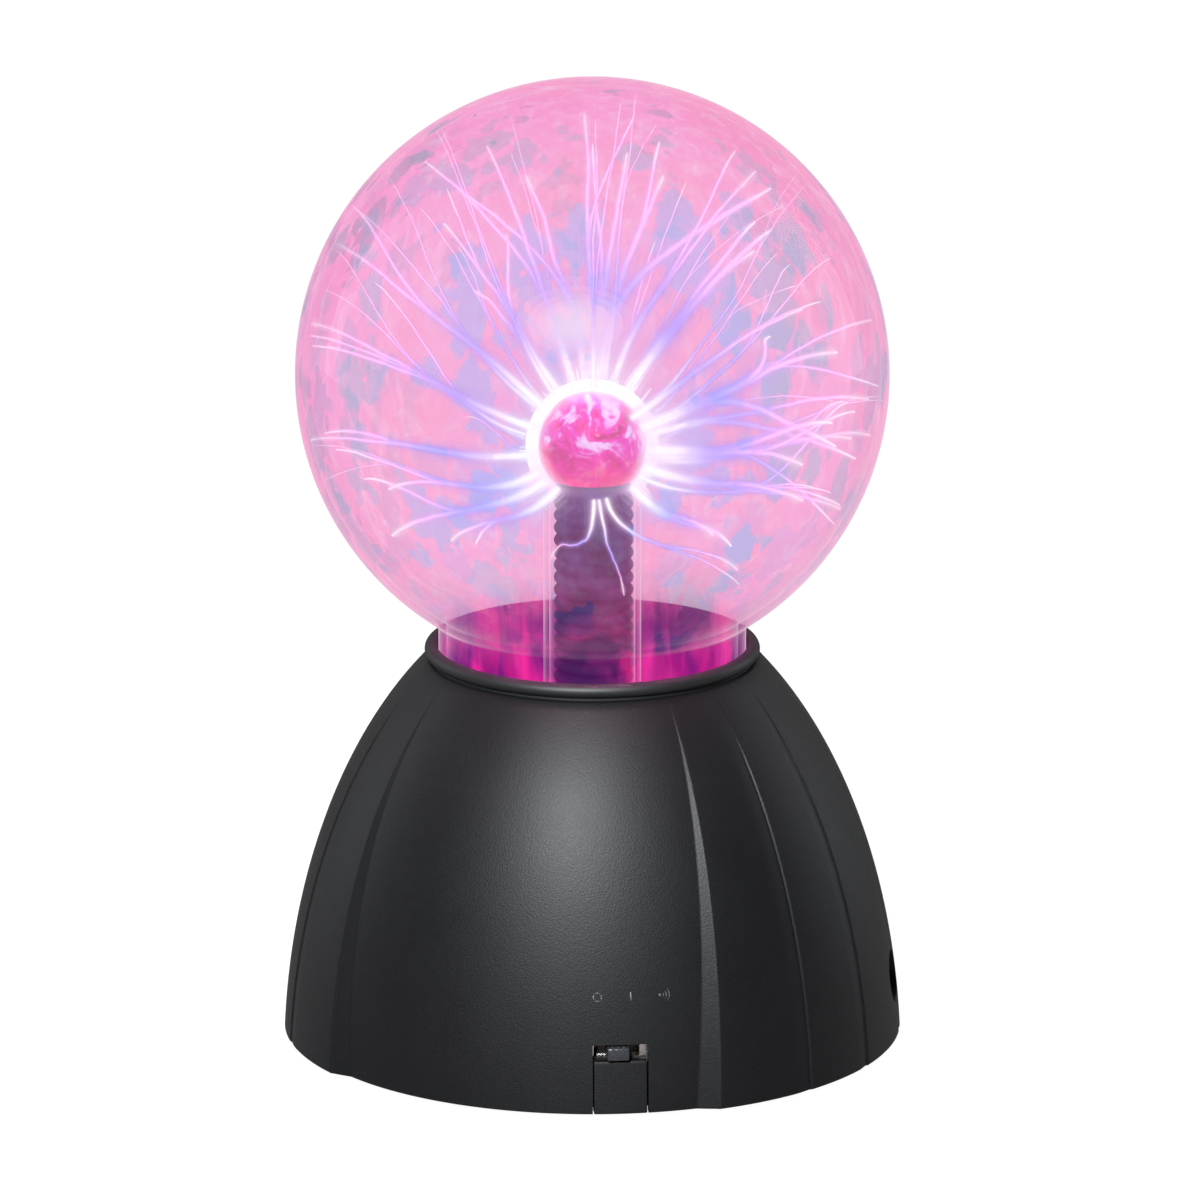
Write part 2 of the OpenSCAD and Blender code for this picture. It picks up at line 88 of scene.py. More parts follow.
class GlobeSettings(bpy.types.PropertyGroup):
    """Sizes of the glass."""

    radius: FloatProperty(
        name="Globe radius", description="Outer radius of the globe", default=0.060, subtype="DISTANCE")
    wall: FloatProperty(
        name="Glass", description="Thickness of the globe's glass", default=0.0016, subtype="DISTANCE")
    neck: FloatProperty(
        name="Neck radius", description="Outer radius of the neck", default=0.0312, subtype="DISTANCE")
    bulb: FloatProperty(
        name="Bulb radius", description="Outer radius of the electrode bulb", default=0.0122,
        subtype="DISTANCE")
    stem: FloatProperty(
        name="Stem radius", description="Outer radius of the stem tube", default=0.0099,
        subtype="DISTANCE")
    stem_wall: FloatProperty(
        name="Stem glass", description="Thickness of the stem's glass", default=0.0012,
        subtype="DISTANCE")


class BaseSettings(bpy.types.PropertyGroup):
    """Sizes of the base."""

    dome: FloatProperty(
        name="Dome radius", description="Radius of the ellipse that the dome follows", default=0.0632,
        subtype="DISTANCE")
    seat: FloatProperty(
        name="Seat radius", description="Radius of the dome at the collar", default=0.03395,
        subtype="DISTANCE")
    drop: FloatProperty(
        name="Drop", description="Depth of the ellipse's middle below the dome's edge", default=0.008,
        subtype="DISTANCE")
    wall: FloatProperty(
        name="Wall", description="Thickness of the shell", default=0.0022, subtype="DISTANCE")
    panel_depth: FloatProperty(
        name="Panel depth", description="Depth of the sunken panels at the edge", default=0.0022,
        subtype="DISTANCE")
    panel_turn: FloatProperty(
        name="Panel turn", description="Turn of the front panel's middle", default=math.radians(-22),
        subtype="ANGLE")
    panel_span: FloatProperty(
        name="Panel span", description="Width of a panel between its slopes",
        default=math.radians(73), subtype="ANGLE")
    slope_span: FloatProperty(
        name="Slope span", description="Width of the slope at the dome's edge",
        default=math.radians(4.4), subtype="ANGLE")
    plastic: FloatVectorProperty(
        name="Plastic", description="Colour of the moulded shell", default=(0.0014, 0.0014, 0.0017),
        subtype="COLOR")


class GlowSettings(bpy.types.PropertyGroup):
    """Colours and counts of the discharge."""

    strands: IntProperty(
        name="Strands", description="Number of scattered discharge strands", default=26, min=0)
    seed: IntProperty(name="Seed", description="Seed of the scattered strands", default=7)
    pink: FloatVectorProperty(
        name="Pink", description="Colour of the discharge on the glass", default=(1.0, 0.15, 0.48),
        subtype="COLOR")
    rose: FloatVectorProperty(
        name="Rose", description="Colour of the lighter streaks on the glass",
        default=(1.0, 0.52, 0.80), subtype="COLOR")
    dusk: FloatVectorProperty(
        name="Dusk", description="Colour of the gaps between the bright patches",
        default=(0.25, 0.12, 0.37), subtype="COLOR")
    violet: FloatVectorProperty(
        name="Violet", description="Colour of the gaps and strands near the bulb",
        default=(0.22, 0.16, 0.90), subtype="COLOR")


class StageSettings(bpy.types.PropertyGroup):
    """Camera, lights and floor."""

    distance: FloatProperty(
        name="Distance", description="Distance of the camera", default=2.2, subtype="DISTANCE")
    azimuth: FloatProperty(
        name="Azimuth", description="Side from which the camera looks", default=math.radians(-5.4),
        subtype="ANGLE")
    elevation: FloatProperty(
        name="Elevation", description="Height of the camera above the horizon",
        default=math.radians(15.3), subtype="ANGLE")
    view_width: FloatProperty(
        name="View width", description="Width of the view at the object", default=0.2394,
        subtype="DISTANCE")
    aim: FloatProperty(
        name="Aim height", description="Height at which the camera aims", default=0.0928,
        subtype="DISTANCE")
    floor: FloatVectorProperty(
        name="Floor", description="Colour of the floor", default=(0.12, 0.12, 0.12), subtype="COLOR")


# ---------------------------------------------------------------- shader tools


# Finished materials by name
LOOKS = {}


class Value:
    """A shader socket that takes part in arithmetic."""

    def __init__(self, graph, socket):
        self.graph = graph
        self.socket = socket

    def math(self, operation, *inputs):
        """The result of a Math node on the given inputs."""
        sockets = {i: v for i, v in enumerate(inputs)}
        return self.graph.node("ShaderNodeMath", {"operation": operation}, sockets)

    def __add__(self, other):
        return self.math("ADD", self, other)

    def __radd__(self, other):
        return self.math("ADD", other, self)

    def __sub__(self, other):
        return self.math("SUBTRACT", self, other)

    def __rsub__(self, other):
        return self.math("SUBTRACT", other, self)

    def __mul__(self, other):
        return self.math("MULTIPLY", self, other)

    def __rmul__(self, other):
        return self.math("MULTIPLY", other, self)

    def __truediv__(self, other):
        return self.math("DIVIDE", self, other)

    def __rtruediv__(self, other):
        return self.math("DIVIDE", other, self)

    def __pow__(self, other):
        return self.math("POWER", self, other)

    def other(self, name):
        """Another output of the node that this value comes from."""
        return Value(self.graph, self.socket.node.outputs[name])

    def clamp(self, low=0.0, high=1.0):
        """This value held between two limits."""
        return self.math("MINIMUM", self.math("MAXIMUM", self, low), high)


class Graph:
    """The node tree of one new material."""

    def __init__(self, name):
        self.name = name
        self.material = bpy.data.materials.new(f"look_{name}")
        self.material.use_nodes = True
        self.tree = self.material.node_tree
        self.tree.nodes.clear()
        self.output = self.tree.nodes.new("ShaderNodeOutputMaterial")

    def node(self, kind, settings=None, inputs=None, output=0):
        """Adds a node, sets its settings and then its sockets, and returns one of its outputs."""
        made = self.tree.nodes.new(kind)
        for name, value in (settings or {}).items():
            if name == "stops":
                self.fill_ramp(made.color_ramp, value)
            else:
                setattr(made, name, value)
        for key, value in (inputs or {}).items():
            socket = self.find(made.inputs, key)
            if isinstance(value, Value):
                self.tree.links.new(value.socket, socket)
            else:
                socket.default_value = self.fitted(socket, value)
        return Value(self, self.find(made.outputs, output))

    @staticmethod
    def find(sockets, key):
        if isinstance(key, int):
            return sockets[key]
        return next(s for s in sockets if key in (s.identifier, s.name))

    @staticmethod
    def fitted(socket, value):
        """The value with as many parts as its socket has."""
        if socket.type == "RGBA" and len(value) == 3:
            return (*value, 1.0)
        return value

    @staticmethod
    def fill_ramp(ramp, stops):
        while len(ramp.elements) < len(stops):
            ramp.elements.new(0.5)
        for element, (place, colour) in zip(ramp.elements, stops):
            element.position = place
            element.color = (*colour, 1.0) if len(colour) == 3 else colour

    def place(self):
        """Object coordinates, in metres."""
        return self.node("ShaderNodeTexCoord", output="Object")

    def noise(self, scale, detail=3.0, roughness=0.5, distortion=0.0, place=None):
        """Noise from 0 to 1, scale features to the metre."""
        return self.node("ShaderNodeTexNoise", None, {
            "Vector": place or self.place(), "Scale": scale, "Detail": detail,
            "Roughness": roughness, "Distortion": distortion})

    def scaled(self, place, factors):
        return self.node("ShaderNodeVectorMath", {"operation": "MULTIPLY"}, {0: place, 1: factors})

    def distance(self, place, centre):
        return self.node("ShaderNodeVectorMath", {"operation": "DISTANCE"},
                         {0: place, 1: centre}, "Value")

    def swayed(self, place, scale, reach):
        """A place pushed about by noise, reach metres at most."""
        sway = self.node("ShaderNodeTexNoise", None, {
            "Vector": place, "Scale": scale, "Detail": 2.0}, "Color")
        return self.node("ShaderNodeVectorMath", {"operation": "MULTIPLY_ADD"},
                         {0: sway, 1: (reach, reach, reach), 2: place})

    def part(self, place, axis):
        """One of a vector's three parts."""
        return self.node("ShaderNodeSeparateXYZ", None, {0: place}, axis)

    def step(self, value, low, high):
        """0 below low, 1 above high, smooth between them."""
        return self.node("ShaderNodeMapRange", {"interpolation_type": "SMOOTHSTEP"},
                         {"Value": value, "From Min": low, "From Max": high})

    def ramp(self, value, stops):
        return self.node("ShaderNodeValToRGB", {"stops": stops}, {0: value})

    def mix(self, factor, first, second):
        """A colour between two colours."""
        return self.node("ShaderNodeMix", {"data_type": "RGBA"}, {
            "Factor_Float": factor, "A_Color": first, "B_Color": second}, "Result_Color")

    def bump(self, height, distance, strength=1.0):
        return self.node("ShaderNodeBump", None, {
            "Height": height, "Distance": distance, "Strength": strength})

    def facing(self):
        """0 where the surface faces the viewer and 1 at its limb, as a gloss or a thin glass needs."""
        return self.node("ShaderNodeLayerWeight", None, {"Blend": 0.5}, "Facing")

    def principled(self, inputs):
        return self.node("ShaderNodeBsdfPrincipled", None, inputs)

    def finish(self, shader):
        self.tree.links.new(shader.socket, self.output.inputs["Surface"])
        LOOKS[self.name] = self.material
        return self.material


# ---------------------------------------------------------------- materials


def moulded_plastic(name, colour, roughness, grain=0.00012, sheen=0.5):
    """Black moulded plastic with a fine spark-eroded grain and slightly uneven gloss."""
    g = Graph(name)
    cloud = g.noise(90.0, 4.0)
    fine = g.noise(2600.0, 3.0, 0.6)
    speck = g.noise(3600.0, 1.0)
    lighter = tuple(min(1.0, c * 2.4 + 0.0012) for c in colour)
    mottle = (cloud * 0.3 + speck * 1.6 - 0.66).clamp()
    return g.finish(g.principled({
        "Base Color": g.mix(mottle, colour, lighter),
        "Roughness": roughness - 0.09 + cloud * 0.06 + speck * 0.12,
        "Specular IOR Level": sheen,
        "Normal": g.bump(fine, grain, 0.5)}))


def thin_glass(name, tint, rim, painted_sheen_amount, power=4.0, roughness=0.02):
    """Clear tinted glass that reflects towards its limb, where the light around it is painted on as a
    glowing sheen.
    """
    g = Graph(name)
    g.material.cycles.emission_sampling = "NONE"
    streak = g.noise(60.0, 2.0)
    limb = g.facing()
    clear = g.node("ShaderNodeBsdfTransparent", None, {"Color": tint})
    gloss = g.node("ShaderNodeBsdfGlossy", None, {
        "Color": (1.0, 1.0, 1.0), "Roughness": roughness,
        "Normal": g.bump(streak, 0.0002, 0.15)})
    # Painted sheen: an emission, mixed in towards the limb, stands in for the light that the glass
    # catches there.
    sheen = g.node("ShaderNodeEmission", None, {"Color": rim, "Strength": 1.0})
    glass = g.node("ShaderNodeMixShader", None, {0: 0.3 * limb ** 5, 1: clear, 2: gloss})
    lit = (painted_sheen_amount * limb ** power).clamp()
    return g.finish(g.node("ShaderNodeMixShader", None, {0: lit, 1: glass, 2: sheen}))


def stem_glass():
    """The glass of the stem, with a pale glow painted on its limb as a sheen."""
    return LOOKS.get("stem_glass") or thin_glass(
        "stem_glass", (0.985, 0.975, 0.99), (1.0, 0.80, 0.96), 0.75, 6.0)


def glowing(g, colour, alpha, strength=1.0):
    """Finishes a graph as a film that only glows and partly hides what is behind it."""
    g.material.cycles.emission_sampling = "NONE"
    return g.finish(g.principled({
        "Base Color": (0.0, 0.0, 0.0), "Roughness": 1.0, "Specular IOR Level": 0.0,
        "Emission Color": colour, "Emission Strength": strength, "Alpha": alpha}))


# ---------------------------------------------------------------- mesh tools


def arc(centre, radius, start, end, count):
    """Points on an arc in the profile plane. Angles are in degrees from outwards, up."""
    angles = [math.radians(start + (end - start) * i / count) for i in range(count + 1)]
    return [(centre[0] + radius * math.cos(a), centre[1] + radius * math.sin(a)) for a in angles]


def lathe(profile, steps, closed=False):
    """A bmesh made by spinning a profile of (radius, height) points about the vertical axis."""
    bm = bmesh.new()
    verts = [bm.verts.new((r, 0, z)) for r, z in profile]
    ends = verts[1:] + verts[:1] if closed else verts[1:]
    edges = [bm.edges.new(pair) for pair in zip(verts, ends)]
    bmesh.ops.spin(bm, geom=verts + edges, cent=(0, 0, 0), axis=(0, 0, 1), angle=2 * math.pi,
                   steps=steps, use_merge=True, use_duplicate=False)
    bmesh.ops.remove_doubles(bm, verts=bm.verts, dist=1e-7)
    bmesh.ops.recalc_face_normals(bm, faces=bm.faces)
    return bm


def finish_piece(name, source, material, body=BODY, nodes=(), sharp=40.0):
    """Makes an object of a bmesh or a mesh, shades it smooth up to an angle, and rides it on a body."""
    if isinstance(source, bmesh.types.BMesh):
        mesh = bpy.data.meshes.new(name)
        source.to_mesh(mesh)
        source.free()
    else:
        mesh = source
    mesh.materials.clear()
    mesh.materials.append(material)
    mesh.shade_smooth()
    mesh.set_sharp_from_angle(angle=math.radians(sharp))
    piece = bpy.data.objects.new(name, mesh)
    bpy.context.scene.collection.objects.link(piece)
    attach(piece, body)
    if nodes:
        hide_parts(*nodes)
    return piece


def cut(bm, cutters):
    """The mesh of a bmesh with closed cutters taken out of it."""
    scene = bpy.context.scene

    def temporary(source):
        mesh = bpy.data.meshes.new("cut")
        source.to_mesh(mesh)
        source.free()
        made = bpy.data.objects.new("cut", mesh)
        scene.collection.objects.link(made)
        return made

    work = temporary(bm)
    tools = [temporary(c) for c in cutters]
    for tool in tools:
        modifier = work.modifiers.new("cut", "BOOLEAN")
        modifier.operation = "DIFFERENCE"
        modifier.solver = "EXACT"
        modifier.object = tool
    graph = bpy.context.evaluated_depsgraph_get()
    mesh = bpy.data.meshes.new_from_object(work.evaluated_get(graph))
    for made in [work, *tools]:
        old = made.data
        bpy.data.objects.remove(made)
        bpy.data.meshes.remove(old)
    return mesh


def block(low, high, bevel=0.0, segments=2):
    """A bmesh box between two corners, its edges rounded."""
    bm = bmesh.new()
    low, high = Vector(low), Vector(high)
    bmesh.ops.create_cube(bm, size=1.0, matrix=Matrix.Translation((low + high) / 2)
                          @ Matrix.Diagonal((*(high - low), 1.0)))
    if bevel:
        bmesh.ops.bevel(bm, geom=bm.edges[:], offset=bevel, segments=segments, profile=0.5,
                        affect="EDGES", material=-1)
    return bm


def join(target, *others):
    """Adds other bmeshes to the first one."""
    for other in others:
        mesh = bpy.data.meshes.new("join")
        other.to_mesh(mesh)
        other.free()
        target.from_mesh(mesh)
        bpy.data.meshes.remove(mesh)
    return target


def turned(angle):
    """Turns what faces -Y to a turn from -Y towards +X."""
    return Matrix.Rotation(angle, 4, "Z")


# ---------------------------------------------------------------- shared geometry


def settings():
    return bpy.context.scene.plasma_ball


def globe_centre():
    return Vector((0, 0, GLASS_BOX[1][2] - settings().globe.radius))


def bulb_centre():
    return Vector((0, 0, STEM_BOX[1][2] - settings().globe.bulb))


def dome_radius(height):
    """Radius of the raised sectors at a height above the table."""
    base = settings().base
    edge, seat = SHELL_BOX[0][2], SHELL_BOX[1][2]
    rise = (seat - edge + base.drop) / math.sqrt(1 - (base.seat / base.dome) ** 2)
    return base.dome * math.sqrt(1 - ((height - edge + base.drop) / rise) ** 2)


def panel_sink(height):
    """Depth of the sunken panels at a height, fading out below the collar."""
    fade = 0.077
    return settings().base.panel_depth * max(0.0, 1 - (height - SHELL_BOX[0][2]) / fade)


def panel_side(turn):
    """Turn from the middle of the nearest panel, positive on either side of it."""
    return abs((turn - settings().base.panel_turn + math.pi / 2) % math.pi - math.pi / 2)


def slope_ends(height):
    """Where a panel's slope starts and ends at a height, as turns from the panel's middle."""
    base = settings().base
    edge, seat = SHELL_BOX[0][2], SHELL_BOX[1][2]
    outer = base.panel_span / 2 + base.slope_span + SLOPE_SWING * (height - edge) / (seat - edge)
    share = panel_sink(height) / base.panel_depth
    width = base.slope_span * share * dome_radius(edge) / dome_radius(height)
    return outer - max(width, math.radians(0.4)), outer


def groove(side):
    """Depth of the fine moulded lines: a slow fall and then a steep edge that faces the panel."""
    depth = 0.0
    for place, fall, edge, deep in LINES:
        past = math.degrees(side) - place
        if -fall < past <= 0:
            depth += deep * (past + fall) / fall
        elif 0 < past < edge:
            depth += deep * (1 - past / edge)
    return depth


def surface_radius(turn, height):
    """Radius of the dome's outer surface, with its panels, their slopes and the fine lines."""
    depth = panel_sink(height)
    side = panel_side(turn)
    inner, outer = slope_ends(height)
    share = min(1.0, max(0.0, (outer - side) / (outer - inner)))
    soft = 0.10
    if share < soft:
        share = share * share / (2 * soft)
    elif share > 1 - soft:
        share = 1 - soft / 2 - (1 - share) ** 2 / (2 * soft)
    strength = min(1.0, depth / (0.4 * MM))
    return dome_radius(height) - depth * share - groove(side) * strength


def column_turns():
    """Turns of the shell's columns, close together where the lines and slopes need it."""
    base = settings().base
    half = math.degrees(base.panel_span) / 2
    slope_end = half + math.degrees(base.slope_span + SLOPE_SWING)
    bands = [(place, place + edge, 0.05) for place, _, edge, _ in LINES]
    bands.append((half - 0.4, slope_end + 0.4, 0.16))
    quarter, side = [], 0.0
    while side < 90:
        quarter.append(side)
        gaps = [(max(low - side, side - high, 0.0), step) for low, high, step in bands]
        side += min([1.0] + [max(step, gap * 0.35) for gap, step in gaps])
    whole = quarter + [180 - q for q in reversed(quarter)]
    turns = whole + [180 + q for q in whole]
    unique = sorted({round(t % 360, 4) for t in turns})
    return [math.radians(t) + base.panel_turn for t in unique]


def on_dome(turn, height, proud=0.0):
    """A point on the dome's outer surface."""
    radius = surface_radius(turn, height) + proud
    return Vector((radius * math.sin(turn), -radius * math.cos(turn), height))


# ---------------------------------------------------------------- base


class PLASMA_OT_base_shell(bpy.types.Operator):
    """Make the sculpted dome with its slot and jack hole"""

    bl_idname = "plasma.base_shell"
    bl_label = "Base shell"

    def profile(self):
        """Closed outline of the wall at the raised sectors' level."""
        edge, seat = SHELL_BOX[0][2], SHELL_BOX[1][2]
        wall = settings().base.wall
        mouth = COLLAR_BOX[1][0] - 2.3 * MM
        chamfer = 0.3 * MM
        levels = 56
        heights = [edge + chamfer + (seat - edge - 2 * chamfer) * i / levels
                   for i in range(levels + 1)]
        outside = [(dome_radius(h), h) for h in heights]
        inner_levels = [seat - wall - (seat - wall - edge) * i / 10 for i in range(11)]
        inside = [(dome_radius(h) - panel_sink(h) - wall, h) for h in inner_levels]
        low_lip = (dome_radius(edge) - settings().base.panel_depth - chamfer, edge)
        return ([low_lip, (dome_radius(edge) - chamfer, edge)] + outside
                + [(dome_radius(seat) - chamfer, seat), (mouth, seat), (mouth, seat - wall)] + inside)

    def execute(self, context):
        turns = column_turns()
        bm = lathe(self.profile(), len(turns), closed=True)
        slack = 0.35 * MM
        for v in bm.verts:
            radius = math.hypot(v.co.x, v.co.y)
            column = round(math.atan2(v.co.y, v.co.x) / (2 * math.pi) * len(turns)) % len(turns)
            v.co.x, v.co.y = radius * math.sin(turns[column]), -radius * math.cos(turns[column])
            height = min(v.co.z, SHELL_BOX[1][2])
            if radius > dome_radius(height) - slack:
                lowered = radius - dome_radius(height)
                turn = math.atan2(v.co.x, -v.co.y)
                factor = (surface_radius(turn, height) + lowered) / radius
                v.co.x *= factor
                v.co.y *= factor
        mesh = cut(bm, [self.slot(), *self.jack_hole()])
        plastic = moulded_plastic("shell_plastic", settings().base.plastic, 0.51, sheen=0.25)
        finish_piece("dome_shell", mesh, plastic, nodes=["base_shell"], sharp=30)
        return {"FINISHED"}

    def slot(self):
        """Cutter for the slot that the cover's tongue fills up to the switch."""
        half, top = 5.6 * MM, COVER_BOX[1][2] + 3.4 * MM
        return block((-half, -0.07, -0.01), (half, -0.05, top), 0.25 * MM)

    def jack_hole(self):
        """Cutters for the jack's hole and the scoop around it."""
        low, high = JACK_BOX
        height = (low[2] + high[2]) / 2
        turn = math.radians(78)
        across = turned(turn) @ Matrix.Translation((0, 0, height)) @ Matrix.Rotation(
            math.radians(90), 4, "X")
        hole = lathe([(0, 0.05), (4.6 * MM, 0.05), (4.6 * MM, 0.07), (0, 0.07)], 64)
        scoop = lathe([(0, 58.6 * MM), (4.6 * MM, 58.6 * MM), (4.7 * MM, 58.9 * MM),
                       (6.0 * MM, 63.8 * MM), (0, 63.8 * MM)], 64)
        for bm in (hole, scoop):
            bm.transform(across)
        return hole, scoop


class PLASMA_OT_collar(bpy.types.Operator):
    """Make the bead ring around the neck"""

    bl_idname = "plasma.collar"
    bl_label = "Collar"

    def execute(self, context):
        low, high = COLLAR_BOX[0][2], COLLAR_BOX[1][2]
        inner = settings().globe.neck + 0.3 * MM
        outer = COLLAR_BOX[1][0]
        height = high - low - 0.5 * MM
        half = height / 2
        waist = low + 0.5 * MM
        crown = arc((outer - half, waist + half), half, -90, 90, 18)
        lip = arc((inner + 0.6 * MM, high - 0.6 * MM), 0.6 * MM, 90, 180, 8)
        foot = [(inner, low), (outer - 1.1 * MM, low), (outer - 1.1 * MM, waist)]
        bm = lathe(foot + crown + lip, 288, closed=True)
        plastic = moulded_plastic("collar_plastic", (0.003, 0.003, 0.0035), 0.54, 0.00004, 0.4)
        finish_piece("collar_bead", bm, plastic, nodes=["collar_ring"])
        return {"FINISHED"}


class PLASMA_OT_cover(bpy.types.Operator):
    """Make the bottom cover with its tongue, and the rubber feet"""

    bl_idname = "plasma.cover"
    bl_label = "Bottom cover and feet"

    def tongue(self):
        """The part of the wall that fills the shell's slot below the switch."""
        half, top, edge = 5.35 * MM, COVER_BOX[1][2], COVER_BOX[0][2]
        columns, rows = 24, 16
        bm = bmesh.new()
        bmesh.ops.create_grid(bm, x_segments=columns, y_segments=rows, size=0.5)
        for v in bm.verts:
            x, height = v.co.x * 2 * half, edge + (v.co.y + 0.5) * (top - edge)
            turn = math.asin(x / surface_radius(0, height))
            v.co = on_dome(turn, height, -0.12 * MM)
        rim = [e for e in bm.edges if e.is_boundary]
        walls = bmesh.ops.extrude_edge_only(bm, edges=rim)["geom"]
        moved = [g for g in walls if isinstance(g, bmesh.types.BMVert)]
        bmesh.ops.translate(bm, verts=moved, vec=(0, 2.6 * MM, 0))
        bmesh.ops.holes_fill(bm, edges=[e for e in bm.edges if e.is_boundary], sides=0)
        bmesh.ops.recalc_face_normals(bm, faces=bm.faces)
        corners = [e for e in bm.edges if e.is_manifold and e.calc_face_angle() > math.radians(60)]
        bmesh.ops.bevel(bm, geom=corners, offset=0.2 * MM, segments=3, profile=0.5,
                        affect="EDGES", material=-1)
        return bm

    def execute(self, context):
        low = COVER_BOX[0][2] + 0.6 * MM
        top = low + 2.2 * MM
        rim = dome_radius(top) - panel_sink(top) - settings().base.wall - 0.3 * MM
        chamfer = 0.4 * MM
        plate = lathe([(0, low), (rim - chamfer, low), (rim, low + chamfer), (rim, top), (0, top)], 192)
        plastic = moulded_plastic("cover_plastic", (0.0016, 0.0016, 0.0019), 0.54, sheen=0.25)
        finish_piece("cover_plate", join(plate, self.tongue()), plastic, nodes=["bottom_cover"])
        radius, height = 5.0 * MM, FEET_BOX[1][2]
        ring = (FEET_BOX[1][0] - radius) * math.sqrt(2)
        feet = bmesh.new()
        for i in range(4):
            pad = lathe([(0, 0)] + arc((radius - 0.8 * MM, 0.8 * MM), 0.8 * MM, -90, 0, 6)
                        + [(radius, height), (0, height)], 48)
            pad.transform(turned(math.radians(45 + 90 * i)) @ Matrix.Translation((0, -ring, 0)))
            join(feet, pad)
        rubber = moulded_plastic("foot_rubber", (0.02, 0.02, 0.02), 0.75, 0.0002, 0.3)
        finish_piece("foot_pads", feet, rubber, nodes=["rubber_feet"])
        return {"FINISHED"}


class PLASMA_OT_switch(bpy.types.Operator):
    """Make the sliding knob and the small signs above its slot"""

    bl_idname = "plasma.switch"
    bl_label = "Switch"

    def knob(self):
        low, high = KNOB_BOX
        middle = ((low[0] + high[0]) / 2, 0, (low[2] + high[2]) / 2)
        half_w, half_h = 2.2 * MM, 1.3 * MM
        root = high[1] - 1.7 * MM
        shoe = block((low[0], root, low[2]), high, 0.15 * MM)
        knob = block((middle[0] - half_w, low[1], middle[2] - half_h),
                     (middle[0] + half_w, root + 0.4 * MM, middle[2] + half_h), 0.3 * MM, 3)
        ribs = []
        for i in (-1, 0, 1):
            x = middle[0] + i * 1.1 * MM
            ribs.append(block((x - 0.25 * MM, low[1] + 0.02 * MM, middle[2] - half_h + 0.2 * MM),
                              (x + 0.25 * MM, low[1] + 1.5 * MM, middle[2] + half_h + 0.22 * MM),
                              0.12 * MM))
        return join(shoe, knob, *ribs)

    def sign(self, shapes, centre_x, height):
        """A raised sign on the dome, from flat strips given as (x, z, width, length, turn)."""
        bm = bmesh.new()
        for x, z, width, length, turn in shapes:
            strip = block((-width / 2, -0.06 * MM, -length / 2), (width / 2, 0.12 * MM, length / 2),
                          0.03 * MM, 1)
            strip.transform(Matrix.Translation((x, 0, z)) @ Matrix.Rotation(turn, 4, "Y"))
            join(bm, strip)
        for v in bm.verts:
            turn = math.asin((centre_x + v.co.x) / surface_radius(0, height))
            v.co = on_dome(turn, height + v.co.z, -v.co.y)
        return bm

    def ring_strips(self, radius, start, end, count):
        """Strips that follow a part of a circle."""
        step = (end - start) / count
        length = 2 * radius * math.sin(step / 2) * 1.25
        angles = [start + step * (i + 0.5) for i in range(count)]
        return [(radius * math.cos(a), radius * math.sin(a), 0.3 * MM, length, math.pi - a)
                for a in angles]

    def execute(self, context):
        gloss = moulded_plastic("knob_plastic", (0.012, 0.012, 0.014), 0.35, 0.00003, 0.5)
        finish_piece("switch_knob", self.knob(), gloss, body=KNOB, nodes=["switch_slider"])
        height = KNOB_BOX[1][2] + 9.0 * MM
        off = self.sign(self.ring_strips(0.8 * MM, 0, 2 * math.pi, 16), -4.5 * MM, height)
        on = self.sign([(0, 0, 0.35 * MM, 1.8 * MM, 0)], 2.2 * MM, height)
        wave = [(-0.9 * MM, 0, 0.5 * MM, 0.6 * MM, 0)]
        for radius in (0.5 * MM, 1.1 * MM, 1.7 * MM):
            arcs = self.ring_strips(radius, -0.75, 0.75, 6)
            wave += [(x - 0.7 * MM, z, w, l, t) for x, z, w, l, t in arcs]
        sound = self.sign(wave, 9.0 * MM, height)
        print_gloss = moulded_plastic("sign_plastic", (0.008, 0.008, 0.009), 0.45, 0.00002, 0.5)
        finish_piece("switch_signs", join(off, on, sound), print_gloss)
        return {"FINISHED"}


class PLASMA_OT_jack(bpy.types.Operator):
    """Make the power jack with its pin"""

    bl_idname = "plasma.jack"
    bl_label = "Power jack"

    def execute(self, context):
        height = (JACK_BOX[0][2] + JACK_BOX[1][2]) / 2
        turn = math.radians(78)
        place = turned(turn) @ Matrix.Translation((0, 0, height)) @ Matrix.Rotation(
            math.radians(90), 4, "X")
        face, nose, back = 55.5 * MM, 58.2 * MM, 42.5 * MM
        bore, floor, outer = 3.1 * MM, 47 * MM, 4.3 * MM
        lip = arc((outer - 0.4 * MM, nose - 0.4 * MM), 0.4 * MM, 0, 90, 4)
        socket = lathe([(0, floor), (bore, floor), (bore, nose - 0.5 * MM), (bore + 0.5 * MM, nose)]
                       + lip[::-1] + [(outer, face - 1 * MM), (0, face - 1 * MM)], 96, closed=False)
        socket.transform(place)
        half = 4.5 * MM
        case = block((-half, -face, height - half), (half, -back, height + half), 0.3 * MM)
        bore_tool = lathe([(0, floor), (bore, floor), (bore, 0.07), (0, 0.07)], 96)
        bore_tool.transform(Matrix.Translation((0, 0, height)) @ Matrix.Rotation(
            math.radians(90), 4, "X"))
        body = cut(case, [bore_tool])
        body.transform(turned(turn))
        bm = bmesh.new()
        bm.from_mesh(body)
        bpy.data.meshes.remove(body)
        rim = lathe([(bore, face - 1 * MM), (bore, nose - 0.5 * MM), (bore + 0.5 * MM, nose)]
                    + lip[::-1] + [(outer, face - 1 * MM)], 96, closed=True)
        rim.transform(place)
        socket.free()
        plastic = moulded_plastic("jack_plastic", (0.012, 0.012, 0.012), 0.3, 0.00003, 0.5)
        finish_piece("jack_housing", join(bm, rim), plastic, nodes=["jack_body"])
        tip = nose - 0.8 * MM
        pin = lathe([(0, 44.2 * MM), (1.4 * MM, 44.2 * MM), (1.4 * MM, floor), (1.0 * MM, floor)]
                    + arc((0.5 * MM, tip - 0.5 * MM), 0.5 * MM, 0, 90, 6) + [(0, tip)], 48)
        pin.transform(place)
        finish_piece("jack_contact", pin, nickel(), nodes=["jack_pin"])
        return {"FINISHED"}


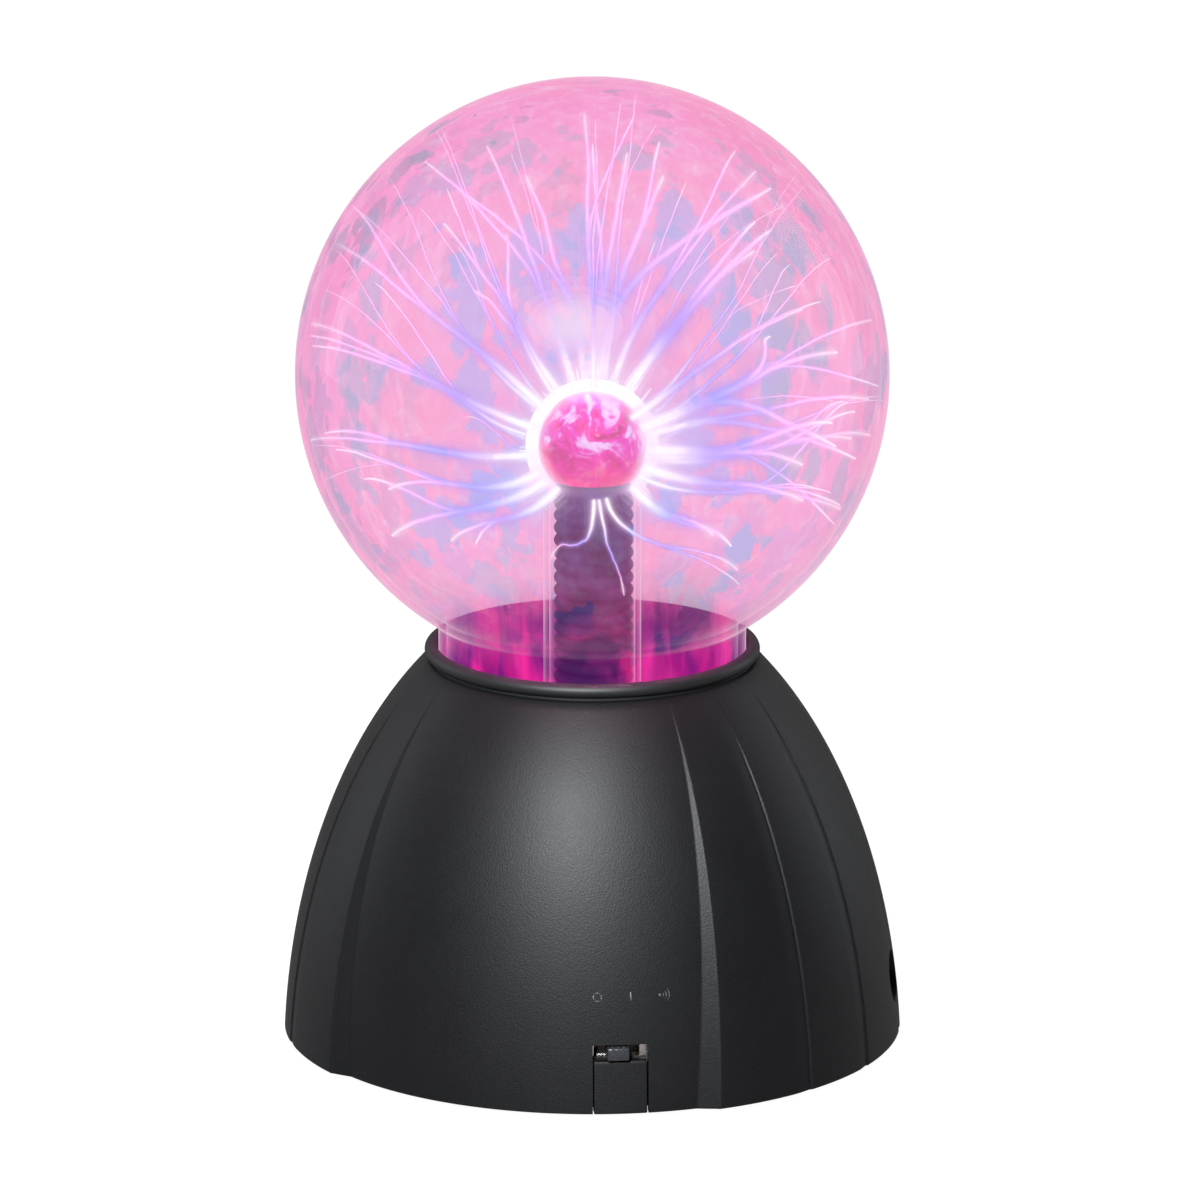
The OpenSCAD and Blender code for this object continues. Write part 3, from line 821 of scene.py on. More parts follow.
def metal(name, colour, roughness, scratch=900.0):
    """Bare or plated metal with fine wear in its gloss."""
    g = Graph(name)
    wear = g.noise(scratch, 4.0, 0.6)
    return g.finish(g.principled({
        "Base Color": g.mix(wear, tuple(c * 0.8 for c in colour), colour),
        "Metallic": 1.0, "Roughness": roughness - 0.06 + wear * 0.12,
        "Normal": g.bump(wear, 0.00003, 0.3)}))


def nickel():
    return LOOKS.get("nickel") or metal("nickel", (0.74, 0.72, 0.68), 0.26)


# ---------------------------------------------------------------- glass


class PLASMA_OT_globe(bpy.types.Operator):
    """Make the blown globe with its neck"""

    bl_idname = "plasma.globe"
    bl_label = "Globe"

    def outline(self, radius, neck, fillet, top_angle=90):
        """Profile of one surface: up the neck, through a fillet and over the sphere."""
        centre = globe_centre().z
        out = neck + fillet
        reach = radius + fillet
        angle = -math.degrees(math.acos(out / reach))
        joint = centre - math.sqrt(reach * reach - out * out)
        turn = arc((out, joint), fillet, 180, 180 + angle, 8)
        return turn, arc((0, centre), radius, angle, top_angle, 120)

    def execute(self, context):
        globe = settings().globe
        low = GLASS_BOX[0][2]
        turn, ball = self.outline(globe.radius, globe.neck, 2.2 * MM)
        inner_turn, inner_ball = self.outline(globe.radius - globe.wall, globe.neck - globe.wall,
                                              3.8 * MM)
        outside = [(globe.neck, low)] + turn + ball[1:-1] + [(0, ball[-1][1])]
        inside = [(0, inner_ball[-1][1])] + inner_ball[1:-1][::-1] + inner_turn[::-1]
        bm = lathe(outside + inside + [(globe.neck - globe.wall, low)], 256, closed=False)
        # The globe's limb gets a pale pink glow painted on as a sheen.
        glass = thin_glass("globe_glass", (0.975, 0.957, 0.98), (1.0, 0.72, 0.86), 0.8, 8.5)
        rim = [e for e in bm.edges if e.is_boundary]
        bmesh.ops.bridge_loops(bm, edges=rim)
        bmesh.ops.recalc_face_normals(bm, faces=bm.faces)
        finish_piece("globe", bm, glass, nodes=["globe_glass"], sharp=60)
        return {"FINISHED"}


class PLASMA_OT_stem(bpy.types.Operator):
    """Make the glass stem with its bulb, and the ribbed sleeve inside it"""

    bl_idname = "plasma.stem"
    bl_label = "Stem"

    def glass_profile(self, shrink):
        """Outside of the stem, or its inside when shrunk by the glass."""
        globe = settings().globe
        tube, bulb = globe.stem - shrink, globe.bulb - shrink
        centre = bulb_centre().z
        angle = -math.degrees(math.acos(tube / bulb))
        return [(tube, centre + bulb * math.sin(math.radians(angle)))] + arc(
            (0, centre), bulb, angle, 90, 48)[1:]

    def glass(self):
        globe = settings().globe
        low = STEM_BOX[0][2]
        disc = 1.6 * MM
        flare = arc((globe.stem + 3 * MM, low + disc + 3 * MM), 3 * MM, 270, 180, 8)
        rim = globe.neck
        outer = [(rim, low), (rim, low + disc)] + flare + self.glass_profile(0)
        inner = self.glass_profile(globe.stem_wall)[::-1] + [(globe.stem - globe.stem_wall, low)]
        return lathe(outer[:-1] + [(0, outer[-1][1])] + [(0, inner[0][1])] + inner[1:] + [(rim, low)],
                     160, closed=False)

    def sleeve(self):
        low, high = SLEEVE_BOX
        crest = (high[0] - low[0]) / 2
        middle = (high[0] + low[0]) / 2
        top = WOOL_BOX[0][2] - 0.25 * MM
        pitch = 2.6 * MM
        count = math.floor((top - low[2]) / pitch)
        depth = 0.7 * MM
        outline = []
        for i in range(count):
            for k in range(8):
                phase = (k + 0.5) / 8
                swell = 0.5 - 0.5 * math.cos(2 * math.pi * phase)
                outline.append((crest - depth + depth * swell ** 0.7, low[2] + (i + phase) * pitch))
        bore = 5.5 * MM
        bm = lathe([(bore, low[2])] + outline + [(crest - depth, top), (bore, top)], 96,
                   closed=True)
        bmesh.ops.translate(bm, verts=bm.verts, vec=(middle, 0, 0))
        return bm

    def sleeve_material(self):
        """Dark ribbed plastic with the discharge's blue and rose light painted on it as a glow: rose
        low down, blue near the top, in lit and shaded patches.
        """
        g = Graph("sleeve_plastic")
        height = g.part(g.place(), "Z")
        low, high = SLEEVE_BOX[0][2], SLEEVE_BOX[1][2]
        rise = g.step(height, low + 0.018, high - 0.004)
        tone = g.noise(160.0, 3.0)
        # Painted light: lit and shaded glow colours stand in for the discharge's light falling on the
        # sleeve.
        lit = g.mix(rise, (0.20, 0.012, 0.10), (0.045, 0.085, 0.20))
        painted_shade = g.mix(rise, (0.05, 0.004, 0.035), (0.004, 0.028, 0.070))
        g.material.cycles.emission_sampling = "NONE"
        return g.finish(g.principled({
            "Base Color": (0.01, 0.008, 0.015), "Roughness": 0.8, "Specular IOR Level": 0.08,
            "Emission Color": g.mix(g.step(tone, 0.35, 0.7), painted_shade, lit), "Emission Strength": 1.0}))

    def execute(self, context):
        finish_piece("stem_tube", self.glass(), stem_glass(),
                     nodes=["stem_glass"], sharp=60)
        finish_piece("ribbed_sleeve", self.sleeve(), self.sleeve_material(), nodes=["stem_sleeve"],
                     sharp=60)
        return {"FINISHED"}


class PLASMA_OT_electrode(bpy.types.Operator):
    """Make the ball of steel wool in the bulb"""

    bl_idname = "plasma.electrode"
    bl_label = "Electrode wool"

    def wool_material(self):
        g = Graph("electrode_wool")
        place = g.place()
        clumps = g.noise(150.0, 3.0, 0.6, 1.2)
        fibre = g.noise(620.0, 4.0, 0.65, 0.8)
        height = g.part(place, "Z")
        centre = bulb_centre().z
        upper = g.step(height, centre - 0.0035, centre + 0.0035)
        mottled = g.ramp(clumps, [(0.38, (0.70, 0.0, 0.10)), (0.46, (1.0, 0.01, 0.30)),
                                  (0.53, (1.0, 0.05, 0.54)), (0.61, (1.0, 0.74, 0.96))])
        band = g.ramp(clumps, [(0.38, (0.86, 0.0, 0.15)), (0.50, (1.0, 0.008, 0.27)),
                               (0.64, (1.0, 0.11, 0.22))])
        base = g.mix(upper, band, mottled)
        white = (g.step(fibre, 0.56, 0.72) * (0.05 + upper * 0.45)).clamp()
        g.material.cycles.emission_sampling = "NONE"
        return g.finish(g.principled({
            "Base Color": (0.02, 0.004, 0.01), "Roughness": 0.8, "Specular IOR Level": 0.1,
            "Emission Color": g.mix(white, base, (1.0, 0.80, 0.96)), "Emission Strength": 1.05,
            "Normal": g.bump(fibre, 0.0006, 0.7)}))

    def execute(self, context):
        rng = random.Random(settings().glow.seed)
        radius = WOOL_BOX[1][0]
        floor = WOOL_BOX[0][2] - bulb_centre().z
        bm = bmesh.new()
        bmesh.ops.create_icosphere(bm, subdivisions=6, radius=radius)
        for v in bm.verts:
            rough = 0.5 + 0.5 * noise.fractal(v.co * 170, 0.9, 2.0, 4)
            v.co *= 1.045 - 0.05 * rough
            v.co.z = max(v.co.z, floor)
        bmesh.ops.translate(bm, verts=bm.verts, vec=bulb_centre())
        material = self.wool_material()
        finish_piece("wool_ball", bm, material, nodes=["electrode_wool"],
                     sharp=70)
        curls = []
        for _ in range(130):
            axis = Vector([rng.gauss(0, 1) for _ in range(3)]).normalized()
            side = axis.orthogonal().normalized()
            side.rotate(Matrix.Rotation(rng.uniform(0, 6.28), 3, axis))
            sweep = rng.uniform(0.6, 1.8)
            track = []
            for i in range(11):
                turn = Matrix.Rotation(sweep * (i / 10 - 0.5), 3, axis.cross(side))
                point = turn @ axis * radius * (1.005 + 0.015 * math.sin(i * 1.7 + sweep * 9))
                if point.z > floor * 0.9:
                    track.append((bulb_centre() + point, 1.0))
            if len(track) > 3:
                curls.append(track)
        mesh = tubes("wool_curls", curls, 0.11 * MM)
        finish_piece("wool_curls", mesh, material, nodes=["electrode_wool"])
        return {"FINISHED"}


# ---------------------------------------------------------------- discharge


def tubes(name, tracks, radius, sides=1):
    """A mesh of round tubes along tracks of (point, relative width)."""
    curve = bpy.data.curves.new(name, "CURVE")
    curve.dimensions = "3D"
    curve.bevel_depth = radius
    curve.bevel_resolution = sides
    for track in tracks:
        spline = curve.splines.new("POLY")
        spline.points.add(len(track) - 1)
        for point, (place, width) in zip(spline.points, track):
            point.co = (*place, 1.0)
            point.radius = width
    made = bpy.data.objects.new(name, curve)
    bpy.context.scene.collection.objects.link(made)
    graph = bpy.context.evaluated_depsgraph_get()
    mesh = bpy.data.meshes.new_from_object(made.evaluated_get(graph))
    bpy.data.objects.remove(made)
    bpy.data.curves.remove(curve)
    return mesh


def shells(name, centre, layers, colours, stretch=(1, 1, 1), low=None):
    """Nested glowing balls, from layers of (radius, alpha) and a colour from inside to outside.

    Below a low end, where one is given, they are fainter."""
    for i, (radius, alpha) in enumerate(layers):
        share = i / max(1, len(layers) - 1)
        colour = tuple(a + (b - a) * share for a, b in zip(*colours))
        g = Graph(f"{name}_glow_{i}")
        wisps = g.noise(70.0, 3.0, 0.6, 0.8)
        strength = alpha * (0.3 + 1.4 * wisps)
        if low is not None:
            height = g.part(g.place(), "Z")
            strength = strength * (0.2 + 0.8 * g.step(height, low - 0.003, low + 0.004))
        material = glowing(g, colour, strength.clamp())
        bm = bmesh.new()
        bmesh.ops.create_uvsphere(bm, u_segments=64, v_segments=32, radius=radius)
        bm.transform(Matrix.Translation(centre) @ Matrix.Diagonal((*stretch, 1.0)))
        finish_piece(f"{name}_{i}", bm, material)


class PLASMA_OT_glow(bpy.types.Operator):
    """Make the film of light on the glass, the haze around the bulb and the bulb's painted reflection
    """

    bl_idname = "plasma.glow"
    bl_label = "Glow"

    def film_material(self):
        """Rosy light on the inside of the glass with dusky islands in it, and smears on the neck."""
        glow = settings().glow
        g = Graph("discharge_film")
        place = g.place()
        height = g.part(place, "Z")
        centre = globe_centre().z
        across = g.part(place, "X").math("ABSOLUTE", g.part(place, "X"))
        swayed = g.swayed(g.scaled(place, (1.0, 1.0, 0.70)), 190.0, 0.012)
        cell = g.node("ShaderNodeTexVoronoi", None, {"Vector": swayed, "Scale": 96.0}, "Distance")
        size = g.part(cell.other("Color"), "X")
        broad = g.noise(24.0, 2.0, 0.5, 0.0)
        tones = g.noise(170.0, 3.0, 0.6, 0.5)
        streaks = g.noise(300.0, 2.0, 0.5, 0.4, g.scaled(place, (1.0, 1.0, 0.16)))
        middle = g.step(height, centre - 0.060, centre - 0.034) * (
            1 - g.step(height, centre + 0.012, centre + 0.042))
        crown = g.step(height, centre + 0.042, centre + 0.054)
        reach = 0.15 + size * 0.32 + middle * 0.08 - crown * 0.16 + (broad - 0.5) * 0.3
        lit = g.step(cell - reach, -0.07, 0.07)
        near = middle * (1 - 0.8 * g.step(across, 0.026, 0.046))
        gap = g.mix(near * 0.9, glow.dusk, glow.violet)
        light = (g.step(streaks, 0.50, 0.74) * 0.45 + g.step(tones, 0.50, 0.74) * 0.45).clamp()
        pinks = g.mix(g.step(broad, 0.42, 0.60), glow.pink, (1.0, 0.20, 0.60))
        colour = g.mix(lit, gap, g.mix(light, pinks, glow.rose))
        depth = g.step(g.part(place, "Y"), -0.045, 0.012)
        brim = COLLAR_BOX[1][2]
        low = 1 - g.step(height + depth * 0.012, brim + 0.001, brim + 0.018)
        drips = g.noise(78.0, 3.0, 0.6, 0.8, g.scaled(place, (1.0, 1.0, 0.32)))
        smear = g.ramp(drips, [(0.40, (0.07, 0.006, 0.15)), (0.48, (0.40, 0.020, 0.28)),
                               (0.56, (0.92, 0.022, 0.34)), (0.70, (1.0, 0.06, 0.42))])
        stained = 1 - g.step(height + depth * 0.012, brim + 0.004, brim + 0.026)
        colour = g.mix(stained, colour, smear)
        alpha = 0.13 + depth * 0.35 + lit * (0.03 + depth * 0.07) + low * (0.22 + depth * 0.24)
        return glowing(g, colour, alpha.clamp())

    def film(self):
        """A lining close under the outside of the globe, where thick glass seems to carry it."""
        globe = settings().globe
        gap = 0.15 * MM
        radius, neck = globe.radius - gap, globe.neck - gap
        centre = globe_centre().z
        low = GLASS_BOX[0][2] + 0.4 * MM
        angle = -math.degrees(math.acos(neck / radius))
        joint = centre + radius * math.sin(math.radians(angle))
        return lathe([(neck, low + (joint - low) * i / 8) for i in range(8)]
                     + arc((0, centre), radius, angle, 90, 100)[:-1] + [(0, centre + radius)], 192)

    def sheath(self, radius):
        """The white glow of the discharge on the bulb, painted brightest at its limb as a sheen of the
        glass, and open where the stem starts.
        """
        g = Graph("bulb_painted_sheen")
        bulb = bulb_centre()
        height = g.part(g.place(), "Z")
        above = g.step(height, bulb.z - 0.0092, bulb.z - 0.0050)
        # Painted sheen: the alpha rises towards the limb, so the glow reads as a bright rim on the
        # bulb's glass.
        alpha = (3.4 * g.facing() ** 4.6 * above).clamp()
        material = glowing(g, g.mix(above, (0.8, 0.5, 1.0), (1.0, 0.98, 1.0)), alpha, 1.5)
        for i, grown in enumerate(radius):
            bm = bmesh.new()
            bmesh.ops.create_uvsphere(bm, u_segments=96, v_segments=48, radius=grown)
            bm.transform(Matrix.Translation(bulb))
            finish_piece(f"sheath_{i}", bm, material)

    def execute(self, context):
        finish_piece("discharge_film", self.film(), self.film_material())
        bulb = settings().globe.bulb
        self.sheath([bulb + grown * MM for grown in (-0.2, 0.3, 0.8, 1.3)])
        white, lilac = (1.0, 0.95, 1.0), (0.50, 0.40, 1.0)
        haze = [(bulb + 1.8 * MM, 0.035), (bulb + 2.8 * MM, 0.03), (bulb + 4.0 * MM, 0.025),
                (bulb + 6.0 * MM, 0.025), (bulb + 9.0 * MM, 0.025), (bulb + 13.0 * MM, 0.02),
                (bulb + 18.0 * MM, 0.02)]
        shells("haze", bulb_centre(), haze, (white, lilac), low=bulb_centre().z - 0.007)
        # A painted reflection of the bulb in the far glass: glowing balls set where the bulb's mirror
        # image falls.
        painted_bulb_reflection = 2 * globe_centre() - bulb_centre() - Vector((3.4 * MM, 0, 4.4 * MM))
        reflection_layers = [(2.2 * MM, 0.36), (3.4 * MM, 0.36), (4.7 * MM, 0.32), (6.1 * MM, 0.26),
                 (7.7 * MM, 0.19), (9.6 * MM, 0.13), (12.0 * MM, 0.08)]
        shells("painted_bulb_reflection", painted_bulb_reflection, reflection_layers, ((1.0, 0.98, 1.0), (1.0, 0.66, 0.98)), (1.25, 1.25, 0.75))
        return {"FINISHED"}


class PLASMA_OT_arcs(bpy.types.Operator):
    """Make the strands of discharge from the bulb to the glass"""

    bl_idname = "plasma.arcs"
    bl_label = "Discharge strands"

    # Main strands: turn and lift where they leave the bulb, turn and lift where they meet the
    # glass, width, number of branches. Angles in degrees, lifts above the horizon.
    MAIN = [
        (58, 24, 52, 12, 2.3, 4),
        (66, 16, 64, 0, 1.4, 2),
        (48, 36, 44, 22, 1.3, 2),
        (62, 2, 40, -8, 2.0, 3),
        (66, -4, 56, -6, 1.4, 2),
        (56, -14, 42, -16, 1.6, 2),
        (46, -34, 20, -20, 1.5, 1),
        (-60, -26, -53, -24, 1.9, 2),
        (-48, -34, -36, -22, 1.5, 1),
        (-64, -18, -50, -13, 1.5, 2),
        (-78, -4, -82, -10, 1.3, 2),
        (-82, 20, -84, 13, 1.4, 3),
        (-92, 40, -110, 24, 1.4, 2),
        (-150, 60, -157, 40, 1.5, 2),
        (-130, 50, -152, 20, 1.2, 2),
        (174, 74, 177, 50, 1.5, 2),
        (158, 66, 158, 30, 2.2, 3),
        (170, 60, 166, 36, 1.7, 2),
        (140, 58, 131, 35, 1.3, 2),
        (118, 50, 139, 14, 1.9, 3),
        (78, 22, 72, 14, 1.2, 2),
        (70, -8, 67, -8, 1.2, 2),
        (70, -18, 60, -22, 1.1, 2),
        (-3, -48, -14, -24, 0.6, 0),
        (14, -46, 29, -30, 0.65, 1),
        (4, -48, 2, -34, 0.45, 0),
        (-140, 42, -161, 4, 1.3, 2),
        (-172, 62, -170, 30, 1.6, 2),
    ]

    def outward(self, turn, lift):
        turn, lift = math.radians(turn), math.radians(lift)
        return Vector((math.sin(turn) * math.cos(lift), -math.cos(turn) * math.cos(lift),
                       math.sin(lift)))

    def landing(self, direction):
        """Point where a direction from the globe's centre meets the glass."""
        return globe_centre() + direction * (settings().globe.radius - 1.0 * MM)

    def track(self, rng, start, along, end, width, count=28, wobble=0.9, root=1.0):
        """A smooth strand that leaves along a direction, bows upwards and ends on the glass."""
        span = (end - start).length
        arrive = (end - globe_centre()).normalized()
        knee = start + along * span * 0.34
        shoulder = end - arrive * span * 0.08 - (end - start) * 0.16 + UP * span * 0.05
        seed = Vector([rng.uniform(-50, 50) for _ in range(3)])
        points = []
        for i in range(count + 1):
            t = i / count
            s = 1 - t
            base = (start * s ** 3 + knee * 3 * s * s * t + shoulder * 3 * s * t * t + end * t ** 3)
            shake = noise.noise_vector(seed + base * 55) * wobble * MM * math.sin(math.pi * t)
            shake += noise.noise_vector(seed + base * 260) * 0.3 * wobble * MM * math.sin(math.pi * t)
            taper = width * (0.20 + 0.44 * min(1.0, 5 * s) + 1.25 * root * s ** 2.6)
            points.append((base + shake, taper))
        return points

    def strand(self, rng, leave, meet, width, branches):
        """A trunk and its branches."""
        start = bulb_centre() + leave * (settings().globe.bulb + 0.2 * MM)
        trunk = self.track(rng, start, leave, self.landing(meet), width)
        tracks = [trunk]
        for _ in range((branches + 1) // 2):
            at = rng.randint(5, 17)
            here, local = trunk[at]
            along = (trunk[at + 1][0] - trunk[at - 1][0]).normalized()
            stray = Vector([rng.gauss(0, 0.17) for _ in range(3)])
            tip = self.landing((meet + stray).normalized())
            branch = self.track(rng, here, along, tip, local * rng.uniform(0.7, 1.0), 18, 0.7, 0.2)
            tracks.append(branch)
        return tracks

    def scattered(self, rng, count):
        """Directions spread evenly over the ball, left out where the stem stands."""
        golden = math.pi * (3 - math.sqrt(5))
        for i in range(count):
            lift = math.degrees(math.asin(1 - 1.55 * (i + 0.5) / count))
            turn = math.degrees(golden * i) + rng.uniform(-14, 14)
            yield turn, lift + rng.uniform(-6, 6)

    def in_front(self, direction, degrees):
        """Whether a direction points at the camera within an angle, where it would hide the wool."""
        stage = settings().stage
        view = self.outward(math.degrees(stage.azimuth), math.degrees(stage.elevation))
        return direction.angle(view) < math.radians(degrees)

    def corona(self, rng, count):
        """Short spikes that stand on the bulb."""
        tracks = []
        for turn, lift in self.scattered(rng, count):
            lift = max(lift, -38)
            out = self.outward(turn, lift)
            if self.in_front(out, 66):
                continue
            lean = (out + Vector([rng.gauss(0, 0.10) for _ in range(3)])).normalized()
            length = rng.choice((0.9, 1.3, 1.8, 2.4, 4.0)) * rng.uniform(0.7, 1.2) * MM
            start = bulb_centre() + out * settings().globe.bulb
            tracks.append([(start + lean * length * i / 6, 1.25 - i / 6) for i in range(7)])
        return tracks

    def strand_material(self, name, alpha, strength, core):
        """Light that runs from white at the bulb through violet to rose at the glass."""
        g = Graph(name)
        place = g.place()
        reach = g.distance(place, bulb_centre())
        near = g.step(reach, 0.014, 0.031)
        far = g.step(reach, 0.030, 0.054)
        colour = g.mix(near, core, (0.42, 0.40, 1.0))
        colour = g.mix(far, colour, (1.0, 0.55, 0.93))
        foot = g.step(g.distance(place, globe_centre()), 0.051, 0.0585)
        colour = g.mix(foot, colour, (1.0, 0.84, 0.96))
        fade = 1 - near * 0.10 - far * 0.30 + foot * 0.15
        return glowing(g, colour, (alpha * fade).clamp(), strength)

    def feet(self, rng, tracks):
        """Soft streaks along the last part of the strands, brightest just before the glass."""
        swell = (0.05, 0.15, 0.30, 0.50, 0.75, 0.95, 1.0, 0.45)
        streaks = []
        for track in tracks:
            size = rng.uniform(0.5, 1.2) * (0.5 + track[-1][1])
            streaks.append([(p, size * w) for (p, _), w in zip(track[-len(swell):], swell)])
        return streaks

    def execute(self, context):
        glow = settings().glow
        rng = random.Random(glow.seed)
        main = []
        for turn, lift, to_turn, to_lift, width, branches in self.MAIN:
            main += self.strand(rng, self.outward(turn, lift), self.outward(to_turn, to_lift),
                                width, branches)
        small = []
        for turn, lift in self.scattered(rng, glow.strands):
            leave = self.outward(turn, lift)
            if self.in_front(leave, 56):
                continue
            meet = self.outward(turn + rng.uniform(-9, 9), lift * 0.85 + rng.uniform(0, 12))
            small += self.strand(rng, leave, meet, rng.uniform(0.35, 0.75), rng.randint(1, 2))
        everything = main + small
        roots = self.corona(rng, 300)
        white, pale, lilac = (1.0, 1.0, 1.0), (0.95, 0.90, 1.0), (0.80, 0.72, 1.0)
        for name, tracks, radius, alpha, strength, core in (
                ("strand_core", everything, 0.22, 0.80, 1.6, white),
                ("strand_skin", everything, 0.42, 0.32, 1.3, white),
                ("strand_glow", everything, 0.75, 0.15, 1.1, pale),
                ("strand_halo", everything, 1.20, 0.065, 1.0, pale),
                ("strand_veil", main, 1.90, 0.035, 1.0, lilac),
                ("corona_core", roots, 0.18, 0.60, 1.5, white),
                ("corona_glow", roots, 0.55, 0.22, 1.1, white)):
            material = self.strand_material(name, alpha, strength, core)
            finish_piece(name, tubes(name, tracks, radius * MM), material,
                         sharp=180)
        streaks = self.feet(rng, [track for track in main if len(track) > 20])
        for name, radius, alpha in (("foot_core", 0.45, 0.18), ("foot_glow", 0.95, 0.12),
                                    ("foot_halo", 1.7, 0.08)):
            g = Graph(name)
            flicker = g.noise(220.0, 2.0)
            material = glowing(g, (1.0, 0.80, 0.93), (alpha * (0.5 + flicker)).clamp(), 1.05)
            finish_piece(name, tubes(name, streaks, radius * MM), material,
                         sharp=180)
        return {"FINISHED"}


# ---------------------------------------------------------------- inner parts


class PLASMA_OT_inner_parts(bpy.types.Operator):
    """Give the pieces inside the base their finishes"""

    bl_idname = "plasma.inner_parts"
    bl_label = "Inner parts"

    METALS = {
        "zinc_steel": ((0.60, 0.60, 0.62), 0.34),
        "brass": ((0.72, 0.52, 0.22), 0.3),
        "tinned_metal": ((0.42, 0.42, 0.44), 0.42),
        "aluminium": ((0.74, 0.75, 0.77), 0.36),
        "nickel": ((0.74, 0.72, 0.68), 0.26),
    }
    PLASTICS = {
        "lead_silicone": ((0.42, 0.03, 0.02), 0.5),
        "foam_rubber": ((0.05, 0.05, 0.05), 0.9),
        "cover_plastic": ((0.0035, 0.0035, 0.004), 0.54),
        "board": ((0.36, 0.22, 0.08), 0.55),
        "ferrite": ((0.06, 0.06, 0.065), 0.6),
        "bobbin_plastic": ((0.06, 0.06, 0.07), 0.5),
        "potting": ((0.015, 0.015, 0.015), 0.2),
        "epoxy_black": ((0.02, 0.02, 0.02), 0.45),
        "capacitor_sleeve": ((0.015, 0.025, 0.12), 0.25),
        "capacitor_red": ((0.4, 0.04, 0.02), 0.25),
        "capacitor_ochre": ((0.5, 0.26, 0.05), 0.35),
        "resistor_body": ((0.6, 0.42, 0.2), 0.35),
        "phenolic": ((0.2, 0.1, 0.04), 0.5),
    }

    def material(self, slot):
        made = LOOKS.get(slot)
        if made:
            return made
        if slot in self.METALS:
            return metal(slot, *self.METALS[slot])
        if slot in self.PLASTICS:
            return moulded_plastic(slot, *self.PLASTICS[slot])
        if slot == "stem_glass":
            return stem_glass()
        return None

    def execute(self, context):
        for row in frame["record"]["subparts"]:
            node = frame["nodes"][row["node"]]
            made = self.material(row["material_slot"])
            if made is None:
                self.report({"INFO"}, f"{node.name} is replaced")
                continue
            for slot in node.material_slots:
                slot.material = made
        return {"FINISHED"}


# ---------------------------------------------------------------- stage


